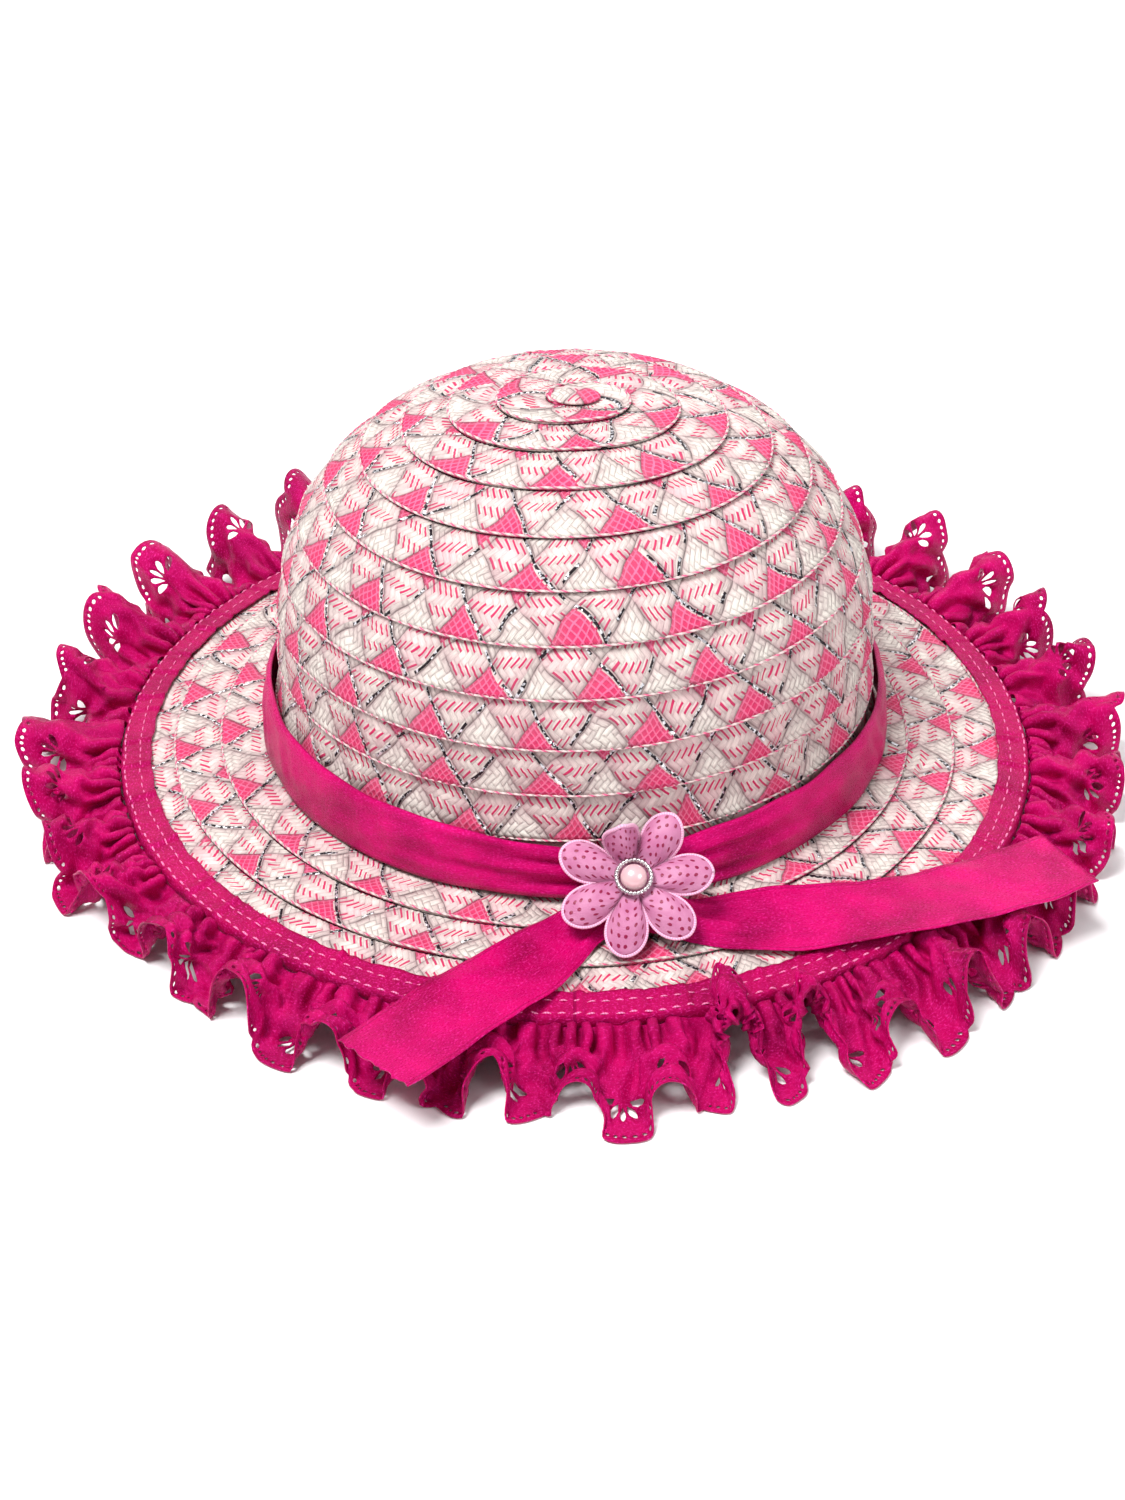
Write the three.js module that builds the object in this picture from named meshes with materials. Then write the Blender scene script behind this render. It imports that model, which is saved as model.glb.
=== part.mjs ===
// A child's sun hat: a crown and brim of plaited straw braid, a satin ribbon with two loose tails,
// a padded flower with a pearl, a satin binding and a gathered, scalloped frill.
// Millimetres, +Z up. The front of the hat faces -Y. Azimuth runs from the front towards +X.
// While it is modelled, z = 0 is the top face of the straw where the binding begins.

import * as THREE from 'three';

// Crown
const CROWN_RADIUS = 80.8;
const CROWN_HEIGHT = 103.3;
const WALL_RISE = 35.4;
const CROWN_FLARE = 3.8;
const FLARE_POWER = 1.5;
const DOME_POWER = 2.28;
const STRAW_WALL = 2;
const BRAID_PITCH = 13;
const BRAID_STEP = 0.8;

// Brim
const BRIM_SHOWN = 33.4;
const BRIM_UNDER_BINDING = 7.4;
const BRIM_FALL = 5;

// Binding: a tape folded over the raw straw edge
const BINDING_WIDTH = 8.8;
const TAPE_WALL = 1;

// Ribbon round the crown and its two tails
const RIBBON_WALL = 1;
const BAND_HEIGHT = 17;
const BAND_STAND_OFF = 2.2;
const BAND_PINCH_TOP = 4.5;
const BAND_PINCH_FOOT = 1.6;
const BAND_PINCH_OUT = 1.1;
const BAND_PINCH_ANGLE = 17;
const BAND_BELLY = 0.44;
const TAIL_WIDTH = 24.5;
const TAIL_PINCHED_WIDTH = 11;
const TAIL_FAN_LENGTH = 42;
const TAIL_OVER_FRILL = 2.4;
const TAIL_LIFT = 1.2;
const KNOT_EDGE_SHARE = 0.35;
const LEFT_TAIL_LENGTH = 84;
const RIGHT_TAIL_LENGTH = 118;
const TAIL_BEND_LENGTH = 20;

// Frill
const FRILL_WALL = 1;
const FRILL_REACH = 29;
const FRILL_WIDTH = 34;
const FOLD_DEPTH = 12.6;
const FOLD_HEIGHT = 13.3;
const FOLD_BULGE = 0.17;
const FOLD_OPENING_POWER = 1.6;
const FOLD_PRESS_SLOPE = 1.1;
const FLOOR_DROP = 13.3;
const SCALLOP_PITCH = 24.4;
const SCALLOP_DEPTH = 4.4;
const SCALLOP_POWER = 1.4;
const SCALLOP_SHOULDER = 0.74;
const SLOT_LENGTH = 5.4;
const SLOT_WIDTH = 2.4;
const SLOT_FROM_EDGE = 7.4;
const SLOT_PLACE = 0.42;

// Flower and pearl
const FLOWER_RADIUS = 20;
const FLOWER_OFFSET = 14.3;
const FLOWER_BEFORE_CROWN = 6.9;
const FLOWER_RISE = 15;
const FLOWER_TILT_ANGLE = 52;
const PETAL_PAD = 3.2;
const FLOWER_SEAT = 2;
const PIPING = 1;
const PETAL_NOTCH = 0.4;
const PETAL_LOBE_POWER = 2.4;
const PETAL_LIFT_POWER = 3;
const PETAL_PUFF_SPREAD = 1.6;
const PETAL_RINGS = [0.36, 0.58, 0.82, 1];
const PEARL_RADIUS = 3.4;
const PEARL_HEIGHT = 3;
const ROPE_RADIUS = 0.65;
const ROPE_TWISTS = 14;
const ROPE_SWELL = 0.12;

// Room left between neighbours
const GAP = 0.3;

// Facets
const ROUND_STEPS = 36;
const RING_STEPS = 44;
const TAIL_STEPS = 12;
const CROWN_INNER_STEPS = 7;
const CURVE_WALL_POINTS = 8;
const CURVE_DOME_POINTS = 40;
const EDGE_SAMPLES = 24;
const PETAL_STEPS = 6;
const PEARL_SIDES = 14;
const PEARL_RISE_STEPS = 5;
const ROPE_SIDES = 6;

// One row for each fold of the frill. at: azimuth of its trough in degrees. low and high: depth of the
// trough and height of the crest after it, as shares of FOLD_DEPTH and FOLD_HEIGHT. out and over: how far
// the trough and that crest reach, as shares of FRILL_REACH. The crest after 13 is turned in over the brim.
const FOLDS = [
  { at: -174, low: 0.95, high: 0.9, out: 0.95, over: 1.0 },
  { at: -163, low: 1.0, high: 0.85, out: 0.95, over: 1.05 },
  { at: -151, low: 0.9, high: 1.05, out: 0.95, over: 1.12 },
  { at: -140, low: 0.95, high: 0.95, out: 0.95, over: 1.0 },
  { at: -129, low: 0.9, high: 1.0, out: 0.9, over: 1.1 },
  { at: -118, low: 1.0, high: 1.0, out: 0.9, over: 1.0 },
  { at: -106.5, low: 0.95, high: 0.8, out: 0.8, over: 0.85 },
  { at: -95, low: 0.95, high: 0.4, out: 0.9, over: 1.06 },
  { at: -84, low: 0.95, high: 0.6, out: 0.85, over: 0.9 },
  { at: -74, low: 1.0, high: 0.5, out: 0.8, over: 0.8 },
  { at: -65, low: 1.0, high: 0.5, out: 0.85, over: 0.7 },
  { at: -54, low: 1.0, high: 0.5, out: 0.58, over: 0.55 },
  { at: -42, low: 1.0, high: 0.55, out: 0.62, over: 0.55 },
  { at: -30.5, low: 1.0, high: 0.25, out: 0.78, over: 0.6 },
  { at: -20, low: 0.95, high: 0.2, out: 0.78, over: 0.6 },
  { at: -12.5, low: 1.0, high: 0.15, out: 0.86, over: 0.6 },
  { at: -4.5, low: 1.0, high: -0.3, out: 0.84, over: 0.58 },
  { at: 4.5, low: 1.0, high: -0.1, out: 1.05, over: 0.72 },
  { at: 13, low: 1.0, high: 0.8, out: 0.86, over: -0.3 },
  { at: 20.5, low: 1.0, high: 0.8, out: 0.88, over: 0.1 },
  { at: 28.5, low: 0.95, high: 0.1, out: 0.99, over: 0.6 },
  { at: 38, low: 1.0, high: 0.4, out: 1.0, over: 0.65 },
  { at: 47, low: 0.95, high: 0.25, out: 0.9, over: 0.7 },
  { at: 57, low: 0.95, high: 0.25, out: 0.85, over: 0.75 },
  { at: 67, low: 0.95, high: 0.35, out: 0.85, over: 0.85 },
  { at: 77, low: 0.95, high: 0.55, out: 0.85, over: 0.88 },
  { at: 87, low: 0.95, high: 0.7, out: 0.85, over: 0.98 },
  { at: 97, low: 0.95, high: 0.9, out: 0.85, over: 0.88 },
  { at: 107, low: 1.0, high: 1.0, out: 0.8, over: 0.85 },
  { at: 117, low: 0.95, high: 1.0, out: 0.85, over: 0.93 },
  { at: 127, low: 0.9, high: 1.05, out: 0.85, over: 0.9 },
  { at: 138, low: 0.95, high: 1.0, out: 0.85, over: 0.85 },
  { at: 149, low: 1.0, high: 0.95, out: 0.9, over: 0.95 },
  { at: 160, low: 0.95, high: 0.9, out: 0.95, over: 1.0 },
  { at: 172, low: 1.0, high: 0.95, out: 0.95, over: 1.0 },
];

// One row for each petal. turn: its direction in the flower's plane in degrees. reach: its length as a
// share of FLOWER_RADIUS. lift: how far it bends forward in degrees.
const PETALS = [
  { turn: 5, reach: 1.0, lift: 8 },
  { turn: 56, reach: 0.98, lift: 24 },
  { turn: 107, reach: 0.95, lift: 66 },
  { turn: 160, reach: 0.98, lift: 12 },
  { turn: 211, reach: 1.0, lift: 4 },
  { turn: 262, reach: 1.0, lift: 4 },
  { turn: 314, reach: 1.0, lift: 6 },
];

// heading: the way the tail leaves the flower, in degrees anticlockwise from +X. bend: the turn that it
// makes in its first stretch. sweep: the turn spread over its whole length. end_drop: how far its cut end
// lies lower than where it leaves the binding.
const LEFT_TAIL = { side: -1, length: LEFT_TAIL_LENGTH, heading: 180, bend: 46, sweep: 0, end_drop: 1.5 };
const RIGHT_TAIL = { side: 1, length: RIGHT_TAIL_LENGTH, heading: -2, bend: 0, sweep: 30, end_drop: 0 };

const DEGREE = Math.PI / 180;

// Levels and radii that follow from the sizes above
const crownFootRadius = CROWN_RADIUS + CROWN_FLARE;
const brimInnerRadius = crownFootRadius - STRAW_WALL - BRAID_STEP;
const strawEdgeRadius = crownFootRadius + BRIM_SHOWN;
const brimOuterRadius = strawEdgeRadius + BRIM_UNDER_BINDING;
const bindingOuterRadius = brimOuterRadius + GAP + TAPE_WALL;
const frillInnerRadius = bindingOuterRadius + GAP;
const frillLevel = brimTop(brimOuterRadius) - STRAW_WALL / 2;
const crownFootLevel = BRIM_FALL + GAP;
const bandFootRadius = crownFootRadius + BAND_STAND_OFF;
const flowerOut = crownFootRadius + FLOWER_BEFORE_CROWN;
const tailStartRadius = bandFootRadius + BAND_PINCH_OUT + TAIL_PINCHED_WIDTH / 2 + GAP;

function mix(a, b, share) {
  return a + (b - a) * share;
}

function ease(share) {
  return (1 - Math.cos(Math.PI * THREE.MathUtils.clamp(share, 0, 1))) / 2;
}

function atAzimuth(radius, azimuth, z) {
  return new THREE.Vector3(radius * Math.sin(azimuth), -radius * Math.cos(azimuth), z);
}

// Top face of the brim: a shallow cone that carries on falling under the binding
function brimTop(radius) {
  return (BRIM_FALL * (crownFootRadius + BRIM_SHOWN - radius)) / BRIM_SHOWN;
}

function crownRadius(z) {
  if (z < WALL_RISE) {
    return CROWN_RADIUS + CROWN_FLARE * (1 - z / WALL_RISE) ** FLARE_POWER;
  }
  const share = Math.min(1, (z - WALL_RISE) / (CROWN_HEIGHT - WALL_RISE));
  return CROWN_RADIUS * (1 - share ** DOME_POWER) ** (1 / DOME_POWER);
}

// A closed body from points and triangles, turned so that its faces point out
function closedBody(points, triangles) {
  let volume = 0;
  for (const [a, b, c] of triangles) {
    volume += points[a].dot(points[b].clone().cross(points[c]));
  }
  const index = volume > 0 ? triangles : triangles.map(([a, b, c]) => [a, c, b]);
  const geometry = new THREE.BufferGeometry().setFromPoints(points);
  geometry.setIndex(index.flat());
  geometry.computeVertexNormals();
  return geometry;
}

// A ring swept round the Z axis from a closed section that may change with the azimuth
function ringBody(steps, sectionAt) {
  const points = [];
  const triangles = [];
  const count = sectionAt(0).length;
  for (let i = 0; i < steps; i += 1) {
    const azimuth = (2 * Math.PI * i) / steps;
    for (const [radius, z] of sectionAt(azimuth)) {
      points.push(atAzimuth(radius, azimuth, z));
    }
  }
  for (let i = 0; i < steps; i += 1) {
    const next = (i + 1) % steps;
    for (let k = 0; k < count; k += 1) {
      const after = (k + 1) % count;
      triangles.push([i * count + k, next * count + k, next * count + after]);
      triangles.push([i * count + k, next * count + after, i * count + after]);
    }
  }
  return closedBody(points, triangles);
}

// A body lofted through closed sections with the same number of points, with a flat end at each side
function loftBody(sections) {
  const count = sections[0].length;
  const points = sections.flat();
  const triangles = [];
  for (let i = 0; i + 1 < sections.length; i += 1) {
    for (let k = 0; k < count; k += 1) {
      const after = (k + 1) % count;
      triangles.push([i * count + k, (i + 1) * count + k, (i + 1) * count + after]);
      triangles.push([i * count + k, (i + 1) * count + after, i * count + after]);
    }
  }
  const last = (sections.length - 1) * count;
  for (let k = 0; k + 1 < count / 2; k += 1) {
    const mirror = count - 1 - k;
    triangles.push([k, k + 1, mirror - 1], [k, mirror - 1, mirror]);
    triangles.push([last + k, last + mirror - 1, last + k + 1], [last + k, last + mirror, last + mirror - 1]);
  }
  return closedBody(points, triangles);
}

// A wall of cloth over a grid of points that closes on itself along its first direction. It stands level
// where rests says so, and the cells that isOpen names are cut through.
function clothBody(grid, thickness, rests, isOpen) {
  const across = grid.length;
  const along = grid[0].length;
  const points = [];
  const up = new THREE.Vector3(0, 0, 1);
  for (let i = 0; i < across; i += 1) {
    for (let j = 0; j < along; j += 1) {
      const before = grid[(i + across - 1) % across][j];
      const after = grid[(i + 1) % across][j];
      const inner = grid[i][Math.max(0, j - 1)];
      const outer = grid[i][Math.min(along - 1, j + 1)];
      const span = outer.clone().sub(inner);
      const normal = rests(grid[i][j], j) ? up.clone() : span.cross(after.clone().sub(before)).normalize();
      points.push(grid[i][j].clone().addScaledVector(normal, thickness / 2));
      points.push(grid[i][j].clone().addScaledVector(normal, -thickness / 2));
    }
  }
  const at = (i, j, under) => 2 * ((i % across) * along + j) + under;
  const solid = (i, j) => j >= 0 && j < along - 1 && !isOpen((i + across) % across, j);
  const triangles = [];
  const quad = (a, b, c, d) => triangles.push([a, b, c], [a, c, d]);
  for (let i = 0; i < across; i += 1) {
    for (let j = 0; j + 1 < along; j += 1) {
      if (!solid(i, j)) continue;
      quad(at(i, j, 0), at(i, j + 1, 0), at(i + 1, j + 1, 0), at(i + 1, j, 0));
      quad(at(i, j, 1), at(i + 1, j, 1), at(i + 1, j + 1, 1), at(i, j + 1, 1));
      if (!solid(i, j - 1)) quad(at(i, j, 1), at(i, j, 0), at(i + 1, j, 0), at(i + 1, j, 1));
      if (!solid(i, j + 1)) quad(at(i, j + 1, 0), at(i, j + 1, 1), at(i + 1, j + 1, 1), at(i + 1, j + 1, 0));
      if (!solid(i - 1, j)) quad(at(i, j, 0), at(i, j, 1), at(i, j + 1, 1), at(i, j + 1, 0));
      if (!solid(i + 1, j)) quad(at(i + 1, j, 1), at(i + 1, j, 0), at(i + 1, j + 1, 0), at(i + 1, j + 1, 1));
    }
  }
  return closedBody(points, triangles);
}

// The crown's outline from its foot to its top
function crownCurve() {
  const points = [];
  for (let i = 0; i < CURVE_WALL_POINTS; i += 1) {
    const z = mix(crownFootLevel, WALL_RISE, i / CURVE_WALL_POINTS);
    points.push(new THREE.Vector2(crownRadius(z), z));
  }
  for (let i = 0; i <= CURVE_DOME_POINTS; i += 1) {
    const turn = (Math.PI / 2) * (i / CURVE_DOME_POINTS);
    const radius = CROWN_RADIUS * Math.cos(turn) ** (2 / DOME_POWER);
    const z = mix(WALL_RISE, CROWN_HEIGHT, Math.sin(turn) ** (2 / DOME_POWER));
    points.push(new THREE.Vector2(i === CURVE_DOME_POINTS ? 0 : radius, z));
  }
  return new THREE.SplineCurve(points);
}

// Crown: rows of braid, the lower edge of each standing proud of the row below it
function crownGeometry() {
  const curve = crownCurve();
  const length = curve.getLength();
  const rows = Math.floor(length / BRAID_PITCH);
  const place = (distance, inset) => {
    const share = Math.min(1, distance / length);
    const point = curve.getPointAt(share);
    const tangent = curve.getTangentAt(share);
    point.x = Math.max(0, point.x - tangent.y * inset);
    point.y += tangent.x * inset;
    return point;
  };
  const outside = [];
  for (let row = 0; row < rows; row += 1) {
    const foot = row * BRAID_PITCH;
    outside.push(place(foot, 0));
    outside.push(place(foot + BRAID_PITCH - BRAID_STEP / 2, BRAID_STEP));
  }
  outside.push(place(rows * BRAID_PITCH, 0));
  outside.push(new THREE.Vector2(0, CROWN_HEIGHT));
  const inside = [];
  for (let i = 0; i < CROWN_INNER_STEPS; i += 1) {
    inside.push(place((length * i) / CROWN_INNER_STEPS, STRAW_WALL + BRAID_STEP));
  }
  inside.push(new THREE.Vector2(0, CROWN_HEIGHT - STRAW_WALL - BRAID_STEP));
  inside[0].y = crownFootLevel;
  const profile = [...outside.reverse(), ...inside];
  const geometry = new THREE.LatheGeometry(profile, ROUND_STEPS);
  geometry.rotateX(Math.PI / 2);
  return facingOut(geometry);
}

// Turns a lathed body's faces out whichever way its profile runs
function facingOut(geometry) {
  const position = geometry.getAttribute('position');
  const index = geometry.getIndex().array;
  const points = [];
  for (let i = 0; i < position.count; i += 1) {
    points.push(new THREE.Vector3().fromBufferAttribute(position, i));
  }
  const triangles = [];
  for (let i = 0; i < index.length; i += 3) {
    triangles.push([index[i], index[i + 1], index[i + 2]]);
  }
  return closedBody(points, triangles);
}

// Brim: rows of braid, the outer edge of each lying on the next
function brimGeometry() {
  const section = [];
  for (let start = crownFootRadius; start < brimOuterRadius; start += BRAID_PITCH) {
    const end = Math.min(start + BRAID_PITCH, brimOuterRadius);
    const lapped = start === crownFootRadius ? 0 : BRAID_STEP;
    const from = lapped === 0 ? brimInnerRadius : start + BRAID_STEP / 2;
    section.push([from, brimTop(start) - lapped]);
    section.push([end, brimTop(end)]);
  }
  section.push([brimOuterRadius, brimTop(brimOuterRadius) - STRAW_WALL]);
  section.push([crownFootRadius, BRIM_FALL - STRAW_WALL - BRAID_STEP]);
  section.push([brimInnerRadius, BRIM_FALL - STRAW_WALL - BRAID_STEP]);
  return ringBody(RING_STEPS, () => section);
}

function bindingGeometry() {
  const inner = bindingOuterRadius - BINDING_WIDTH;
  const fold = brimOuterRadius + GAP;
  const over = (radius) => brimTop(radius) + GAP;
  const under = (radius) => brimTop(radius) - STRAW_WALL - BRAID_STEP - GAP;
  const section = [
    [inner, over(inner)],
    [inner, over(inner) + TAPE_WALL],
    [fold, over(fold) + TAPE_WALL],
    [bindingOuterRadius, over(fold)],
    [bindingOuterRadius, under(fold)],
    [fold, under(fold) - TAPE_WALL],
    [inner, under(inner) - TAPE_WALL],
    [inner, under(inner)],
    [fold, under(fold)],
    [fold, over(fold)],
  ];
  return ringBody(RING_STEPS, () => section);
}

// How strongly the ribbon is drawn together at an azimuth: 1 behind the flower, 0 away from it
function pinchAt(azimuth) {
  const centre = Math.atan2(FLOWER_OFFSET, flowerOut);
  const turn = Math.atan2(Math.sin(azimuth - centre), Math.cos(azimuth - centre)) / DEGREE;
  return Math.exp(-((turn / BAND_PINCH_ANGLE) ** 2));
}

// Band: leans out at its foot, stands on the brim and is drawn together behind the flower
function hatbandGeometry() {
  return ringBody(RING_STEPS, (azimuth) => {
    const pinch = pinchAt(azimuth);
    const foot = crownFootLevel + BAND_PINCH_FOOT * pinch;
    const top = crownFootLevel + BAND_HEIGHT - BAND_PINCH_TOP * pinch;
    const middle = (foot + top) / 2;
    const footRadius = bandFootRadius + BAND_PINCH_OUT * pinch;
    const topRadius = crownRadius(foot) + GAP + RIBBON_WALL;
    const middleRadius = (footRadius + topRadius) / 2 + BAND_BELLY;
    return [
      [footRadius - RIBBON_WALL, foot],
      [footRadius, foot],
      [middleRadius, middle],
      [topRadius, top],
      [topRadius - RIBBON_WALL, top],
      [middleRadius - RIBBON_WALL, middle],
    ];
  });
}

// The centre line of a tail seen from above, in even steps
function tailRoute(tail) {
  const route = [];
  const step = tail.length / TAIL_STEPS;
  let x = FLOWER_OFFSET + (tail.side * GAP) / 2;
  let y = -tailStartRadius;
  for (let i = 0; i <= TAIL_STEPS; i += 1) {
    const along = i * step;
    const bend = tail.bend * ease(along / TAIL_BEND_LENGTH);
    const heading = (tail.heading + bend + (tail.sweep * along) / tail.length) * DEGREE;
    route.push({ x, y, heading, along });
    x += step * Math.cos(heading);
    y += step * Math.sin(heading);
  }
  return route;
}

// Height of the underside of a tail over what it lies on
function tailLevel(tail, x, y) {
  const radius = Math.hypot(x, y);
  const overBinding = brimTop(strawEdgeRadius) + GAP + TAPE_WALL + GAP;
  if (radius < strawEdgeRadius - BINDING_WIDTH) {
    return brimTop(radius) + GAP;
  }
  if (radius < strawEdgeRadius) {
    const share = (radius - strawEdgeRadius + BINDING_WIDTH) / BINDING_WIDTH;
    return mix(brimTop(strawEdgeRadius - BINDING_WIDTH) + GAP, overBinding + GAP, ease(share));
  }
  const share = Math.min(1, (radius - strawEdgeRadius) / (bindingOuterRadius - strawEdgeRadius));
  const beyond = Math.max(0, radius - frillInnerRadius) / FRILL_REACH;
  return overBinding + GAP + TAIL_LIFT * share - tail.end_drop * beyond;
}

function tailWidth(along) {
  return mix(TAIL_PINCHED_WIDTH, TAIL_WIDTH, ease(along / TAIL_FAN_LENGTH));
}

// Back plane of the flower, which the drawn-together ribbon meets from behind
function flowerBack(y) {
  return FLOWER_RISE + (y + flowerOut) / Math.tan(FLOWER_TILT_ANGLE * DEGREE);
}

function tailGeometry(tail) {
  const across = 4;
  const sections = tailRoute(tail).map(({ x, y, heading, along }) => {
    const width = tailWidth(along);
    const gather = 1 - ease(along / TAIL_BEND_LENGTH);
    const top = [];
    const bottom = [];
    for (let k = 0; k <= across; k += 1) {
      const side = (k / across - 0.5) * width;
      const px = x - side * Math.sin(heading);
      const py = y + side * Math.cos(heading);
      const level = tailLevel(tail, px, py);
      const crown = Math.sin((Math.PI * k) / across);
      const knot = Math.max(RIBBON_WALL, flowerBack(py) - GAP - level);
      const wall = mix(RIBBON_WALL, knot, gather * mix(KNOT_EDGE_SHARE, 1, crown));
      bottom.push(new THREE.Vector3(px, py, level));
      top.push(new THREE.Vector3(px, py, level + wall));
    }
    return [...bottom, ...top.reverse()];
  });
  return loftBody(sections);
}

// The highest level that the frill may reach where a tail lies on it
function pressedLevel(tail, route, x, y) {
  let level = Infinity;
  for (const point of route) {
    const distance = Math.hypot(x - point.x, y - point.y);
    const clear = Math.max(0, distance - tailWidth(point.along) / 2 - TAIL_OVER_FRILL);
    const under = tailLevel(tail, x, y) - GAP - FRILL_WALL / 2 - GAP;
    level = Math.min(level, under + clear * FOLD_PRESS_SLOPE);
  }
  return level;
}

// The frill's folds at a phase: whole numbers are troughs, halves are the crests between them
function foldAt(phase) {
  const count = FOLDS.length;
  const fold = Math.floor(phase);
  const row = FOLDS[((fold % count) + count) % count];
  const nextRow = FOLDS[(((fold + 1) % count) + count) % count];
  const nextAt = nextRow.at + (nextRow.at <= row.at ? 360 : 0);
  const crestAt = (row.at + nextAt) / 2;
  const rising = phase - fold < 0.5;
  const share = rising ? (phase - fold) * 2 : (phase - fold) * 2 - 1;
  const low = rising ? row : nextRow;
  const toHigh = rising ? ease(share) : 1 - ease(share);
  return {
    from: rising ? row.at : crestAt,
    to: rising ? crestAt : nextAt,
    share,
    height: mix(-low.low * FOLD_DEPTH, row.high * FOLD_HEIGHT, toHigh),
    reach: mix(low.out, row.over, toHigh),
  };
}

const tailRoutes = [LEFT_TAIL, RIGHT_TAIL].map((tail) => ({ tail, route: tailRoute(tail) }));

// A point of the frill's middle surface. out is 0 at the seam and 1 at the full width.
function frillPoint(phase, out) {
  const fold = foldAt(phase);
  const swell = FOLD_BULGE * out * Math.sin(2 * Math.PI * fold.share);
  const azimuth = mix(fold.from, fold.to, fold.share + swell) * DEGREE;
  const opening = 1 - (1 - out) ** FOLD_OPENING_POWER;
  const radius = frillInnerRadius + FRILL_REACH * (out + (fold.reach - 1) * out * out);
  const point = atAzimuth(radius, azimuth, frillLevel + fold.height * opening);
  for (const { tail, route } of tailRoutes) {
    point.z = Math.min(point.z, Math.max(frillLevel, pressedLevel(tail, route, point.x, point.y)));
  }
  point.z = Math.max(point.z, FRILL_WALL / 2 - FLOOR_DROP);
  return point;
}

// Phases of the frill at even distances along its outer edge
function phasesAlongEdge() {
  const total = FOLDS.length * EDGE_SAMPLES;
  const lengths = [0];
  let before = frillPoint(0, 1);
  for (let i = 1; i <= total; i += 1) {
    const here = frillPoint(i / EDGE_SAMPLES, 1);
    lengths.push(lengths[i - 1] + here.distanceTo(before));
    before = here;
  }
  const phaseAt = (distance) => {
    let i = 1;
    while (i < total && lengths[i] < distance) {
      i += 1;
    }
    return (i - 1 + (distance - lengths[i - 1]) / (lengths[i] - lengths[i - 1])) / EDGE_SAMPLES;
  };
  return { length: lengths[total], phaseAt };
}

// Frill: a gathered strip with a scalloped edge and one leaf-shaped slot cut through each scallop
function ruffleGeometry() {
  const { length, phaseAt } = phasesAlongEdge();
  const scallops = Math.round(length / SCALLOP_PITCH);
  const pitch = length / scallops;
  const slotShare = SLOT_WIDTH / pitch / 2;
  const stops = [0, SLOT_PLACE - slotShare, SLOT_PLACE + slotShare, SCALLOP_SHOULDER];
  const slotOuter = 1 - SLOT_FROM_EDGE / FRILL_WIDTH;
  const slotInner = slotOuter - SLOT_LENGTH / FRILL_WIDTH;
  const grid = [];
  for (let scallop = 0; scallop < scallops; scallop += 1) {
    for (const stop of stops) {
      const phase = phaseAt((scallop + stop) * pitch);
      const notch = (1 - Math.sin(Math.PI * stop)) ** SCALLOP_POWER * (SCALLOP_DEPTH / FRILL_WIDTH);
      grid.push([0, slotInner, slotOuter, 1 - notch].map((out) => frillPoint(phase, out)));
    }
  }
  const slotStep = 1;
  const slotRow = 1;
  const isOpen = (i, j) => i % stops.length === slotStep && j === slotRow;
  const rests = (point, row) => row === 0 || point.z <= FRILL_WALL / 2 - FLOOR_DROP;
  return clothBody(grid, FRILL_WALL, rests, isOpen);
}

// The petal that a direction of the flower lies in, and how far across it: -1 to 1
function petalAt(turn) {
  let found = null;
  const half = 180 / PETALS.length;
  for (const petal of PETALS) {
    const off = ((turn - petal.turn + 540) % 360) - 180;
    if (found === null || Math.abs(off) < Math.abs(found.off)) {
      found = { petal, off };
    }
  }
  return { petal: found.petal, across: THREE.MathUtils.clamp(found.off / half, -1, 1) };
}

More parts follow.
